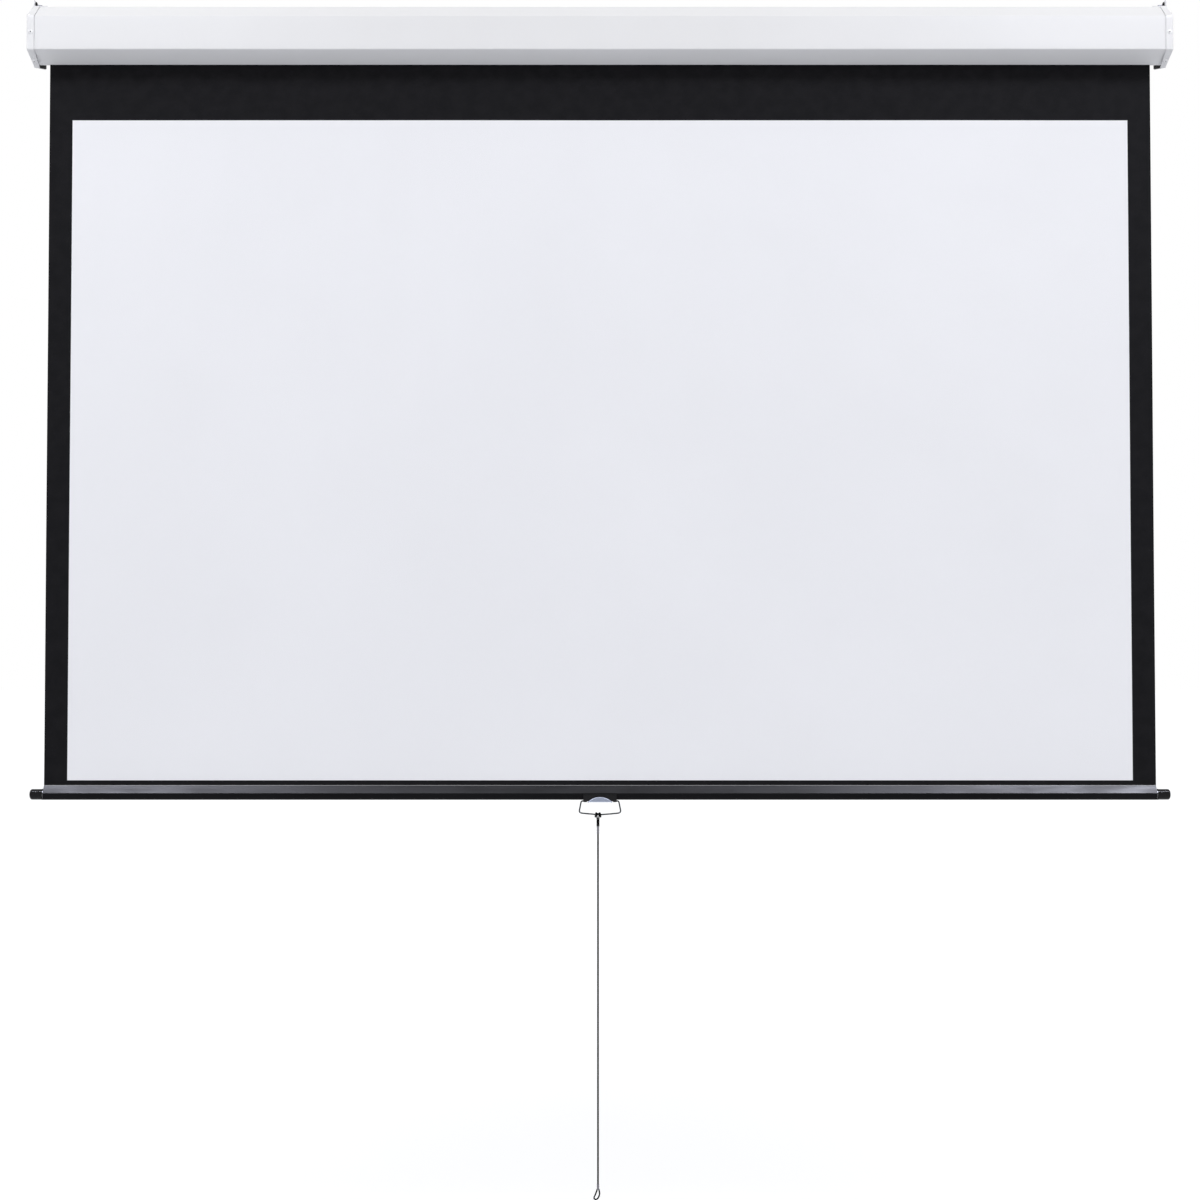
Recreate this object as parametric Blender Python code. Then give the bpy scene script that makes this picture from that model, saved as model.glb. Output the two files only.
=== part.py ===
"""Pull-down projector screen: a long white steel case on the wall, a spring roller inside it, a white
screen with black borders that hangs from the roller, and a weight bar with a wire bail and a pull cord.

Units are metres. X runs along the case, the screen faces -Y, and Z is up. The origin is the centre of the
flat back of the case, so the wall is the plane y = 0. The screen is drawn fully down.
"""

import math

import bmesh
import bpy
from mathutils import Matrix, Vector

# Shared small sizes: the gap between touching pieces, a broken edge, and a cutter's reach past its hole.
GAP = 0.0003
EDGE = 0.0006
CUT_REACH = 0.0040

# Case: a folded sheet-steel section, given as the corners (y, z) of its outer surface.
CASE_HALF_LENGTH = 1.2520
CASE_DEPTH = 0.1360
CASE_TOP = 0.0495
CASE_BACK_BOTTOM = -0.0495
FRONT_FACE_TOP = 0.0152
FRONT_FACE_BOTTOM = -0.0577
TOP_FRONT_Y = -0.0960
LIP_Y = -0.0780
LIP_Z = -0.0748
SLOT_REAR_Y = -0.0580
SLOT_REAR_Z = -0.0683
HEM_RISE = 0.0058
HEM_LEAN = 0.0006
SHEET_STEEL = 0.0012
BEND_RADIUS = 0.0022

# End caps: a steel cup at each end, its flange lapped over the case. The cap is a little taller than the
# case: its upper fold and its low corner stand off, and its plate reaches lower at the wall.
CAP_FOLD_TOP = 0.0172
CAP_LOW_Y = -0.0794
CAP_LOW_Z = -0.0797
CAP_BACK_LOW = -0.0595
FLANGE_WIDTH = 0.0162
FLANGE_END_WIDTH = 0.0120
FLANGE_THICKNESS = 0.0013
END_PLATE = 0.0015
CAP_SCREW_INSET = 0.0090
LOWER_SCREW_INSET = 0.0070
CAP_SCREW_HEAD_RADIUS = 0.0048
CAP_SCREW_SHANK_RADIUS = 0.0020
CAP_SCREW_LENGTH = 0.0058
LOWER_SCREW_LENGTH = 0.0098
BRACKET_SCREW_LENGTH = 0.0100
SCREW_HOLE_RADIUS = 0.0024
FRONT_SCREW_Z = -0.0200
TOP_SCREW_Y = -0.0230
LOWER_SCREW_SHARE = 0.60

# Hanger ears: upright tabs on top of the end caps, each with a grommet and a bolt.
EAR_FRONT_Y = -0.0915
EAR_REAR_Y = -0.0455
EAR_TOP = 0.0677
EAR_THICKNESS = 0.0020
EAR_CORNER = 0.0040
EAR_FOOT_LENGTH = 0.0310
EAR_HOLE_Y = -0.0775
EAR_HOLE_Z = 0.0604
EAR_HOLE_RADIUS = 0.0046
GROMMET_BORE_RADIUS = 0.0031
GROMMET_LIP_RADIUS = 0.0060
GROMMET_OUTER_LIP = 0.0020
GROMMET_INNER_LIP = 0.0018
BOLT_INSET = 0.0115
BOLT_RADIUS = 0.0030
BOLT_LENGTH = 0.0140
BOLT_WASHER_RADIUS = 0.0062
BOLT_WASHER = 0.0010
BOLT_HEAD_RADIUS = 0.0054
BOLT_HEAD = 0.0052
NUT_RADIUS = 0.0055
NUT_THICKNESS = 0.0045

# Roller brackets inside the end caps, and the bush that the idle pin turns in.
ROLLER_Y = -0.0455
ROLLER_Z = 0.0
BRACKET_THICKNESS = 0.0025
BRACKET_HALF_DEPTH = 0.0220
BRACKET_HALF_HEIGHT = 0.0380
BRACKET_CORNER = 0.0060
BRACKET_SCREW_RISE = 0.0300
PIN_RADIUS = 0.0050
BUSH_SLEEVE = 0.0018
BUSH_SLEEVE_RADIUS = 0.0080
BUSH_FLANGE = 0.0040
BUSH_FLANGE_RADIUS = 0.0115

# Roller and its plugs.
ROLLER_RADIUS = 0.0250
ROLLER_WALL = 0.0010
ROLLER_HALF_LENGTH = 1.2250
WOUND_RADIUS = 0.0265
PLUG_RADIUS = ROLLER_RADIUS - ROLLER_WALL - GAP
PLUG_DEPTH = 0.0300
PLUG_FACE = 0.0030
PLUG_EDGE = 0.0010
PIN_SOCKET_DEPTH = 0.0240
PAWL_ROOM_RADIUS = 0.0206
PAWL_ROOM_DEPTH = 0.0080
SHAFT_HOLE_RADIUS = 0.0046

# Ratchet and pawls: the pawls ride on the roller, and the ratchet wheel stays still.
RATCHET_RADIUS = 0.0080
RATCHET_ROOT = 0.0054
RATCHET_TEETH = 4
PAWL_THICKNESS = 0.0040
PAWL_PIVOT_RADIUS = 0.0150
PAWL_LENGTH = 0.0120
PAWL_TIP = 0.0009
PAWL_HUB = 0.0030
PAWL_TAIL_LENGTH = 0.0042
PAWL_TAIL = 0.0013
PAWL_REST_TIP_RADIUS = 0.0102
PAWL_LOCKED_TIP_RADIUS = 0.0069
PAWL_FIRST_ANGLE = math.radians(125.0)
PAWL_ANGLES = {"upper": PAWL_FIRST_ANGLE, "lower": PAWL_FIRST_ANGLE + math.pi}
PAWL_PIN_RADIUS = 0.0015
PAWL_PIN_HEAD_RADIUS = 0.0024
PAWL_PIN_HEAD = 0.0010
PAWL_PIN_LENGTH = 0.0098

# Spring and what holds it: the spear, its hub and the mandrel stay still, and the anchor turns with the tube.
SPEAR_RADIUS = 0.0040
SPEAR_OVERHANG = 0.0015
SPEAR_REACH = 0.1200
TONGUE_HALF_DEPTH = 0.0038
TONGUE_HALF_HEIGHT = 0.0016
TONGUE_PLAY = 0.0006
SPRING_HUB_RADIUS = 0.0095
SPRING_HUB_LENGTH = 0.0140
SPRING_HUB_INSET = 0.0180
MANDREL_RADIUS = 0.0060
MANDREL_END = -0.5000
SPRING_TURNS = 30
SPRING_RADIUS = 0.0115
SPRING_WIRE = 0.0011
SPRING_END = -0.5200
SPRING_CLEARANCE = 0.0005
ANCHOR_CLEARANCE = 0.0020
ANCHOR_LENGTH = 0.0140

# Screen: the printed black borders lie within this one sheet.
SCREEN_WIDTH = 2.4384
SCREEN_THICKNESS = 0.0005
SCREEN_FACE_Y = ROLLER_Y - WOUND_RADIUS - GAP
HEM_APEX_Z = -1.6658

# Weight bar, the hem pocket round it, and its end caps.
BAR_Y = SCREEN_FACE_Y - SCREEN_THICKNESS / 2
BAR_Z = -1.6854
BAR_RADIUS = 0.0108
BAR_WALL = 0.0012
BAR_HALF_LENGTH = 1.2200
POCKET_RADIUS = 0.0119
POCKET_THICKNESS = 0.0008
POCKET_SHOULDER = 0.0010
POCKET_SEAM = 0.0024
BAR_CAP_RADIUS = 0.0118
BAR_CAP_END = 1.2492
BAR_CAP_NOSE = 0.0050
BAR_CAP_PLUG = 0.0250

# Handle's mount under the bar: sizes across it are from the bar's centre.
MOUNT_HALF_WIDTH = 0.0365
MOUNT_FRONT = 0.0144
MOUNT_REAR = 0.0138
MOUNT_RISE = 0.0010
MOUNT_DEPTH = 0.0146
MOUNT_CHAMFER = 0.0034
LUG_WIDTH = 0.0080
LUG_HALF_DEPTH = 0.0034
LUG_ROOT = 0.0140
LUG_LOW = 0.0170
LUG_CHAMFER = 0.0015
INSERT_HALF_WIDTH = 0.0272
INSERT_TOP = -0.0048
INSERT_LOW = -0.0160
INSERT_FOOT_LOW = -0.0170
INSERT_FOOT_WIDTH = 0.0030
INSERT_FRONT = 0.0170
MOUNT_SCREW_X = 0.0160
MOUNT_SCREW_HEAD_RADIUS = 0.0034
MOUNT_SCREW_RADIUS = 0.0017
MOUNT_SCREW_LENGTH = 0.0062
MOUNT_SCREW_HOLE_RADIUS = 0.0021
MOUNT_SCREW_HOLE_DEPTH = 0.0066

# Wire bail and pull cord. The wire is lowest, and the cord hangs, a little to the left of the middle.
CORD_X = -0.0044
PIVOT_Z = BAR_Z - 0.0144
BAIL_WIRE_RADIUS = 0.0016
BAIL_LOW_Z = -1.7300
CORD_RADIUS = 0.0015
PULL_CORD_RADIUS = 0.0020
HITCH_STAGGER = 0.0009
HITCH_KNOT_LOW = -0.0052
HITCH_KNOT_FADE = 0.0068
FERRULE_RADIUS = 0.0027
UPPER_FERRULE_TOP = -1.7558
UPPER_FERRULE_BOTTOM = -1.7711
LOWER_FERRULE_TOP = -2.5317
LOWER_FERRULE_BOTTOM = -2.5434

# Seal strips: black rubber inside the end plates, under the case.
SEAL_THICKNESS = 0.0020
SEAL_REVEAL = 0.0012
SEAL_FRONT_Y = -0.0750
SEAL_REAR_Y = -0.0040
SEAL_FRONT_TOP = -0.0738


def material(name, colour, roughness, metallic=0.0):
    """A plain Principled material."""
    made = bpy.data.materials.new(name)
    made.use_nodes = True
    shader = made.node_tree.nodes["Principled BSDF"]
    shader.inputs["Base Color"].default_value = (*colour, 1.0)
    shader.inputs["Roughness"].default_value = roughness
    shader.inputs["Metallic"].default_value = metallic
    return made


def make_materials():
    return {
        "white_paint": material("white_paint", (0.80, 0.80, 0.82), 0.45),
        "zinc": material("zinc", (0.45, 0.45, 0.47), 0.35, 1.0),
        "steel": material("steel", (0.55, 0.56, 0.58), 0.35, 1.0),
        "chrome": material("chrome", (0.75, 0.76, 0.78), 0.12, 1.0),
        "rubber": material("rubber", (0.02, 0.02, 0.02), 0.75),
        "nylon": material("nylon", (0.75, 0.74, 0.70), 0.50),
        "black_plastic": material("black_plastic", (0.02, 0.02, 0.022), 0.30),
        "grey_plastic": material("grey_plastic", (0.55, 0.58, 0.66), 0.25),
        "screen_cloth": material("screen_cloth", (0.86, 0.86, 0.88), 0.90),
        "black_cloth": material("black_cloth", (0.012, 0.012, 0.014), 0.60),
        "cord": material("cord", (0.015, 0.015, 0.015), 0.80),
    }


def empty(name, location, parent=None):
    """An axis marker: moving pieces hang under the empty that stands on their joint's axis."""
    marker = bpy.data.objects.new(name, None)
    marker.empty_display_size = 0.03
    marker["place"] = location
    base = Vector(parent["place"]) if parent else Vector((0, 0, 0))
    marker.location = Vector(location) - base
    marker.parent = parent
    bpy.context.collection.objects.link(marker)
    return marker


def put(name, data, made_of, under):
    """Links a mesh or curve drawn in world places under the empty that carries it."""
    data.transform(Matrix.Translation(-Vector(under["place"])))
    thing = bpy.data.objects.new(name, data)
    data.materials.append(made_of)
    thing.parent = under
    bpy.context.collection.objects.link(thing)
    return thing


def mesh_from(name, points, faces):
    """A mesh with its faces turned outwards, smooth but for its sharp edges."""
    mesh = bpy.data.meshes.new(name)
    mesh.from_pydata(points, [], faces)
    work = bmesh.new()
    work.from_mesh(mesh)
    bmesh.ops.remove_doubles(work, verts=work.verts, dist=1e-6)
    bmesh.ops.recalc_face_normals(work, faces=work.faces)
    work.to_mesh(mesh)
    work.free()
    mesh.shade_smooth()
    mesh.set_sharp_from_angle(angle=math.radians(32))
    return mesh


def outward(a, b):
    """The unit normal on the outer side of the line from one (y, z) corner to the next."""
    along = (Vector(b) - Vector(a)).normalized()
    return Vector((-along.y, along.x))


def shift_outline(corners, distance):
    """Moves each side of an open outline outwards; the new corners are where the moved sides meet."""
    sides = list(zip(corners, corners[1:]))
    normals = [outward(a, b) for a, b in sides]
    moved = [Vector(corners[0]) + normals[0] * distance]
    for corner, before, after in zip(corners[1:-1], normals, normals[1:]):
        middle = (before + after).normalized()
        moved.append(Vector(corner) + middle * (distance / middle.dot(after)))
    moved.append(Vector(corners[-1]) + normals[-1] * distance)
    return [tuple(v) for v in moved]


def rounded(corners, radius, steps, closed):
    """Replaces each corner of an outline by an arc of the given radius; an open outline keeps its two ends."""
    count = len(corners)
    out = []
    for i in range(count):
        if not closed and i in (0, count - 1):
            out.append(tuple(corners[i]))
            continue
        corner = Vector(corners[i])
        back = (Vector(corners[i - 1]) - corner).normalized()
        ahead = (Vector(corners[(i + 1) % count]) - corner).normalized()
        half = back.angle(ahead) / 2
        reach = radius / math.tan(half)
        centre = corner + (back + ahead).normalized() * (radius / math.sin(half))
        start = corner + back * reach - centre
        end = corner + ahead * reach - centre
        turn = start.angle_signed(end)
        for k in range(steps + 1):
            spin = Matrix.Rotation(-turn * k / steps, 2)
            out.append(tuple(centre + spin @ start))
    return out


def circle(centre, radius, sides):
    angles = [2 * math.pi * k / sides for k in range(sides)]
    return [(centre[0] + radius * math.cos(a), centre[1] + radius * math.sin(a)) for a in angles]


def rectangle(centre, half_depth, half_height):
    """The four corners (y, z) round a centre."""
    y, z = centre
    return [(y - half_depth, z - half_height), (y - half_depth, z + half_height),
            (y + half_depth, z + half_height), (y + half_depth, z - half_height)]


def prism(name, outline, x0, x1, holes=()):
    """A flat outline (y, z), with holes, drawn out along X from x0 to x1."""
    flat = bmesh.new()
    edges = []
    for loop in (outline, *holes):
        ring = [flat.verts.new((0, y, z)) for y, z in loop]
        edges += [flat.edges.new((ring[i], ring[(i + 1) % len(ring)])) for i in range(len(ring))]
    flat.verts.index_update()
    bmesh.ops.triangle_fill(flat, use_beauty=True, edges=edges)
    base = [(v.co.y, v.co.z) for v in flat.verts]
    triangles = [[v.index for v in face.verts] for face in flat.faces]
    flat.free()
    count = len(base)
    points = [(x0, y, z) for y, z in base] + [(x1, y, z) for y, z in base]
    faces = triangles + [[i + count for i in face] for face in triangles]
    start = 0
    for loop in (outline, *holes):
        size = len(loop)
        for i in range(size):
            a = start + i
            b = start + (i + 1) % size
            faces.append((a, b, b + count, a + count))
        start += size
    return mesh_from(name, points, faces)


def sheet_section(corners, thickness, radius, steps=4):
    """The closed outline of a folded sheet whose outer surface runs through the corners."""
    outer = rounded(corners, radius, steps, closed=False)
    inner = rounded(shift_outline(corners, -thickness), radius - thickness, steps, closed=False)
    return outer + inner[::-1]


def turned(name, profile, centre, sides, along=(1, 0, 0)):
    """A profile of (distance along the axis, radius) turned round a line through the centre."""
    axis = Vector(along).normalized()
    across = axis.orthogonal().normalized()
    other = axis.cross(across)
    points = []
    rings = []
    for distance, radius in profile:
        middle = Vector(centre) + axis * distance
        if radius == 0:
            rings.append([len(points)])
            points.append(tuple(middle))
            continue
        ring = []
        for k in range(sides):
            angle = 2 * math.pi * k / sides
            ring.append(len(points))
            points.append(tuple(middle + (across * math.cos(angle) + other * math.sin(angle)) * radius))
        rings.append(ring)
    faces = []
    closed = profile[0][1] > 0
    pairs = list(zip(rings, rings[1:])) + ([(rings[-1], rings[0])] if closed else [])
    for low, high in pairs:
        for k in range(sides):
            n = (k + 1) % sides
            if len(low) == 1:
                faces.append((low[0], high[n], high[k]))
            elif len(high) == 1:
                faces.append((low[k], low[n], high[0]))
            else:
                faces.append((low[k], low[n], high[n], high[k]))
    return mesh_from(name, points, faces)


def sleeve(name, start_x, end_x, inner, outer, sides):
    """A plain tube about the roller's axis."""
    profile = [(start_x, inner), (end_x, inner), (end_x, outer), (start_x, outer)]
    return turned(name, profile, (0.0, ROLLER_Y, ROLLER_Z), sides)


def rod(name, start, along, length, radius, sides=16):
    return turned(name, [(0, 0), (0, radius), (length, radius), (length, 0)], start, sides, along)


def smooth_path(route, step):
    """Points about one step apart on a Catmull-Rom curve through the route's points."""
    knots = [Vector(p) for p in route]
    ends = [knots[0] * 2 - knots[1]] + knots + [knots[-1] * 2 - knots[-2]]
    out = []
    for i in range(1, len(ends) - 2):
        a, b, c, d = ends[i - 1:i + 3]
        parts = max(1, round((c - b).length / step))
        for k in range(parts):
            t = k / parts
            out.append(0.5 * (2 * b + (c - a) * t + (2 * a - 5 * b + 4 * c - d) * t ** 2
                              + (3 * b - a - 3 * c + d) * t ** 3))
    return out + [knots[-1]]


def tube(name, path, radius, sides_setting):
    """A round tube with filled ends along a path."""
    curve = bpy.data.curves.new(name, "CURVE")
    curve.dimensions = "3D"
    curve.bevel_depth = radius
    curve.bevel_resolution = sides_setting
    curve.use_fill_caps = True
    line = curve.splines.new("POLY")
    line.points.add(len(path) - 1)
    for point, place in zip(line.points, path):
        point.co = (*place, 1.0)
    line.use_smooth = True
    return curve


def cutter(name, mesh):
    """A guide shape that only cuts or adds to another: it isn't part of the object."""
    shape = bpy.data.objects.new(name, mesh)
    shape.hide_render = True
    shape.display_type = "WIRE"
    bpy.context.collection.objects.link(shape)
    return shape


def cut(target, shape, operation="DIFFERENCE"):
    change = target.modifiers.new(shape.name, "BOOLEAN")
    change.operation = operation
    change.object = shape
    change.solver = "EXACT"


def joined(name, meshes):
    """Several separate closed meshes as one, for a cutter that makes many holes."""
    work = bmesh.new()
    for mesh in meshes:
        work.from_mesh(mesh)
    whole = bpy.data.meshes.new(name)
    work.to_mesh(whole)
    work.free()
    return whole


CASE_CORNERS = [
    (LIP_Y + HEM_LEAN, LIP_Z + HEM_RISE),
    (LIP_Y, LIP_Z),
    (-CASE_DEPTH, FRONT_FACE_BOTTOM),
    (-CASE_DEPTH, FRONT_FACE_TOP),
    (TOP_FRONT_Y, CASE_TOP),
    (0.0, CASE_TOP),
    (0.0, CASE_BACK_BOTTOM),
    (SLOT_REAR_Y, SLOT_REAR_Z),
    (SLOT_REAR_Y - HEM_LEAN, SLOT_REAR_Z + HEM_RISE),
]
CAP_CORNERS = [
    (CAP_LOW_Y, CAP_LOW_Z),
    (-CASE_DEPTH, FRONT_FACE_BOTTOM),
    (-CASE_DEPTH, CAP_FOLD_TOP),
    (TOP_FRONT_Y, CASE_TOP),
    (0.0, CASE_TOP),
]


def screw_places():
    """Where the cap screws go: a name, the distance from the case's end, a point (y, z) under the flange, the
    outward normal, and the length under the head."""
    low, fold = CAP_CORNERS[:2]
    lower = Vector(fold).lerp(Vector(low), LOWER_SCREW_SHARE)
    front = Vector((-CASE_DEPTH, FRONT_SCREW_Z))
    top = Vector((TOP_SCREW_Y, CASE_TOP))
    return [
        ("front", CAP_SCREW_INSET, front, Vector((-1.0, 0.0)), CAP_SCREW_LENGTH),
        ("lower", LOWER_SCREW_INSET, lower, outward(low, fold), LOWER_SCREW_LENGTH),
        ("top", CAP_SCREW_INSET, top, Vector((0.0, 1.0)), CAP_SCREW_LENGTH),
    ]


def bracket_screw_places():
    return [("upper", (ROLLER_Y, ROLLER_Z + BRACKET_SCREW_RISE)),
            ("lower", (ROLLER_Y, ROLLER_Z - BRACKET_SCREW_RISE))]


def end_holes(side):
    """One cutter for the screw and bolt holes at one end of the case."""
    through = 2 * CUT_REACH
    shapes = []
    for name, inset, place, normal, length in screw_places():
        x = side * (CASE_HALF_LENGTH - inset)
        start = place - normal * length
        along = (0, normal.x, normal.y)
        shapes.append(rod(name, (x, start.x, start.y), along, length + CUT_REACH, SCREW_HOLE_RADIUS))
    bolt_start = (side * (CASE_HALF_LENGTH - BOLT_INSET), EAR_HOLE_Y, CASE_TOP - CUT_REACH)
    shapes.append(rod("bolt", bolt_start, (0, 0, 1), through, BOLT_RADIUS + GAP))
    for name, (y, z) in bracket_screw_places():
        start_x = side * (CASE_HALF_LENGTH + CUT_REACH)
        shapes.append(rod(name, (start_x, y, z), (-side, 0, 0), through, SCREW_HOLE_RADIUS))
    return cutter("end_holes_right" if side > 0 else "end_holes_left", joined("end_holes", shapes))


def build_case(paint, root, holes):
    half = CASE_HALF_LENGTH - END_PLATE - GAP
    section = sheet_section(CASE_CORNERS, SHEET_STEEL, BEND_RADIUS)
    shell = put("case_shell", prism("case_shell", section, -half, half), paint, root)
    for shape in holes.values():
        cut(shell, shape)


def flanged_cap(name, side):
    """An end plate with a flange folded inwards, from the plate's low corner over the front to the back of
    the top. The flange narrows to its low end. Below, the plate has a bare straight edge."""
    outer = rounded(shift_outline(CAP_CORNERS, GAP + FLANGE_THICKNESS), BEND_RADIUS + FLANGE_THICKNESS, 4,
                    closed=False)
    inner = rounded(shift_outline(CAP_CORNERS, GAP), BEND_RADIUS, 4, closed=False)
    count = len(outer)
    widths = [FLANGE_END_WIDTH] + [FLANGE_WIDTH] * (count - 1)
    rim = [side * (CASE_HALF_LENGTH - width) for width in widths]
    floor = [side * (CASE_HALF_LENGTH - END_PLATE)] * count
    face = [side * CASE_HALF_LENGTH] * count
    rings = [(rim, outer), (rim, inner), (floor, inner), (face, outer)]
    points = [(x, y, z) for xs, ring in rings for x, (y, z) in zip(xs, ring)]
    points += [(floor[0], *outer[0]), (floor[0], 0.0, CAP_BACK_LOW), (face[0], 0.0, CAP_BACK_LOW)]
    heel, back_floor, back_face = range(4 * count, 4 * count + 3)
    rim_out, rim_in, floor_in, face_out = (range(k * count, (k + 1) * count) for k in range(4))
    faces = [(*floor_in, back_floor, heel), (*face_out, back_face)]
    for low, high in ((rim_out, rim_in), (rim_in, floor_in), (rim_out, face_out)):
        faces += [(low[i], low[i + 1], high[i + 1], high[i]) for i in range(count - 1)]
    faces.remove((rim_out[0], rim_out[1], face_out[1], face_out[0]))
    faces.append((rim_out[0], rim_out[1], face_out[1], face_out[0], heel))
    faces.append((rim_out[0], rim_in[0], floor_in[0], heel))
    faces.append((heel, back_floor, back_face, face_out[0]))
    faces.append((rim_out[-1], face_out[-1], back_face, back_floor, floor_in[-1], rim_in[-1]))
    return mesh_from(name, points, faces)


def screw_mesh(name, seat, normal, head_radius, shank_radius, shank_length):
    """A domed screw with a dimple: the seat is the point under its head, and the normal points out of it."""
    rise = head_radius * 0.48
    dimple = rise * 0.45
    profile = [(-shank_length, 0), (-shank_length, shank_radius), (0, shank_radius), (0, head_radius)]
    for angle in (0.6, 1.2):
        profile.append((rise * math.sin(angle), head_radius * (1 - 0.42 * (1 - math.cos(angle)))))
    profile += [(rise, head_radius * 0.36), (dimple, head_radius * 0.22), (dimple, 0)]
    return turned(name, profile, seat, 12, normal)


def build_cap(side, word, stuff, root, holes):
    cap = put(f"end_cap_{word}", flanged_cap("end_cap", side), stuff["white_paint"], root)
    cut(cap, holes)
    lift = GAP + FLANGE_THICKNESS + GAP
    for name, inset, place, normal, length in screw_places():
        x = side * (CASE_HALF_LENGTH - inset)
        seat = place + normal * lift
        mesh = screw_mesh(name, (x, seat.x, seat.y), (0, normal.x, normal.y),
                          CAP_SCREW_HEAD_RADIUS, CAP_SCREW_SHANK_RADIUS, length)
        put(f"cap_screw_{word}_{name}", mesh, stuff["white_paint"], root)
    for name, (y, z) in bracket_screw_places():
        mesh = screw_mesh(name, (side * (CASE_HALF_LENGTH + GAP), y, z), (side, 0, 0),
                          CAP_SCREW_HEAD_RADIUS, CAP_SCREW_SHANK_RADIUS, BRACKET_SCREW_LENGTH)
        put(f"bracket_screw_{word}_{name}", mesh, stuff["white_paint"], root)


def grommet_mesh(centre, side):
    """A groove that grips the ear between two lips, the outer one on the object's outside."""
    lip = GROMMET_LIP_RADIUS
    groove = EAR_HOLE_RADIUS - GAP
    near = EAR_THICKNESS + GAP
    far = near + GROMMET_INNER_LIP
    profile = [(-GROMMET_OUTER_LIP, GROMMET_BORE_RADIUS), (-GROMMET_OUTER_LIP, lip - EDGE),
               (-GROMMET_OUTER_LIP + EDGE, lip), (-GAP, lip), (-GAP, groove), (near, groove), (near, lip),
               (far - EDGE, lip), (far, lip - EDGE), (far, GROMMET_BORE_RADIUS)]
    return turned("grommet", profile, centre, 24, (-side, 0, 0))


def bolt_mesh(centre):
    """A bolt with a round head and a washer face under it; the centre is the point that the washer sits on."""
    profile = [(-BOLT_LENGTH, 0), (-BOLT_LENGTH, BOLT_RADIUS), (0, BOLT_RADIUS), (0, BOLT_WASHER_RADIUS),
               (BOLT_WASHER, BOLT_WASHER_RADIUS), (BOLT_WASHER, BOLT_HEAD_RADIUS),
               (BOLT_HEAD - EDGE, BOLT_HEAD_RADIUS), (BOLT_HEAD, BOLT_HEAD_RADIUS - EDGE), (BOLT_HEAD, 0)]
    return turned("hanger_bolt", profile, centre, 24, (0, 0, 1))


def build_ear(side, word, stuff, root):
    """An angle bracket with its upright at the case's end, a rubber grommet in it, and a bolt and nut."""
    foot_low = CASE_TOP + 2 * GAP + FLANGE_THICKNESS
    foot_high = foot_low + EAR_THICKNESS
    tab = [(EAR_FRONT_Y, foot_low), (EAR_FRONT_Y, EAR_TOP), (EAR_REAR_Y, EAR_TOP), (EAR_REAR_Y, foot_low)]
    tab = rounded(tab, EAR_CORNER, 5, closed=False)
    outer_x = side * CASE_HALF_LENGTH
    inner_x = side * (CASE_HALF_LENGTH - EAR_THICKNESS)
    hole = circle((EAR_HOLE_Y, EAR_HOLE_Z), EAR_HOLE_RADIUS, 24)
    upright = prism("hanger_ear", tab, outer_x, inner_x, [hole])
    ear = put(f"hanger_ear_{word}", upright, stuff["white_paint"], root)

    foot = [(EAR_FRONT_Y, foot_low), (EAR_FRONT_Y, foot_high), (EAR_REAR_Y, foot_high), (EAR_REAR_Y, foot_low)]
    foot_start = side * (CASE_HALF_LENGTH - EAR_THICKNESS / 2)
    foot_end = side * (CASE_HALF_LENGTH - EAR_FOOT_LENGTH)
    cut(ear, cutter(f"ear_foot_{word}", prism("ear_foot", foot, foot_start, foot_end)), "UNION")
    bolt_x = side * (CASE_HALF_LENGTH - BOLT_INSET)
    hole_start = (bolt_x, EAR_HOLE_Y, foot_low - CUT_REACH)
    bolt_hole = rod("hole", hole_start, (0, 0, 1), EAR_THICKNESS + 2 * CUT_REACH, BOLT_RADIUS + GAP)
    cut(ear, cutter(f"ear_bolt_hole_{word}", bolt_hole))

    grommet = grommet_mesh((outer_x, EAR_HOLE_Y, EAR_HOLE_Z), side)
    put(f"hanger_grommet_{word}", grommet, stuff["rubber"], root)
    put(f"hanger_bolt_{word}", bolt_mesh((bolt_x, EAR_HOLE_Y, foot_high + GAP)), stuff["zinc"], root)
    nut_top = CASE_TOP - SHEET_STEEL - GAP
    nut_hole = (BOLT_RADIUS + GAP) / math.cos(math.radians(30))
    nut = [(0, nut_hole), (0, NUT_RADIUS), (-NUT_THICKNESS, NUT_RADIUS), (-NUT_THICKNESS, nut_hole)]
    put(f"hanger_nut_{word}", turned("hanger_nut", nut, (bolt_x, EAR_HOLE_Y, nut_top), 6, (0, 0, 1)),
        stuff["zinc"], root)


def plate_edge_z(y):
    """Height of the end plate's bare lower edge, a straight line from its low corner to the wall."""
    low = shift_outline(CAP_CORNERS, GAP + FLANGE_THICKNESS)[0]
    return CAP_BACK_LOW + (low[1] - CAP_BACK_LOW) * y / low[0]


def case_under_z(y):
    """Height of the case's underside behind the slot."""
    return CASE_BACK_BOTTOM + (SLOT_REAR_Z - CASE_BACK_BOTTOM) * y / SLOT_REAR_Y


def build_seal(side, word, stuff, root):
    """A black rubber strip glued inside the end plate, between the case's underside and the plate's edge."""
    outline = [(y, plate_edge_z(y) + SEAL_REVEAL) for y in (SEAL_FRONT_Y, SEAL_REAR_Y)]
    outline += [(y, case_under_z(y) - GAP) for y in (SEAL_REAR_Y, SLOT_REAR_Y)]
    outline.append((SEAL_FRONT_Y, SEAL_FRONT_TOP))
    outline = rounded(outline, EDGE, 2, closed=True)
    outer_x = CASE_HALF_LENGTH - END_PLATE - GAP
    strip = prism("slot_seal", outline, side * (outer_x - SEAL_THICKNESS), side * outer_x)
    put(f"slot_seal_{word}", strip, stuff["rubber"], root)


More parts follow.
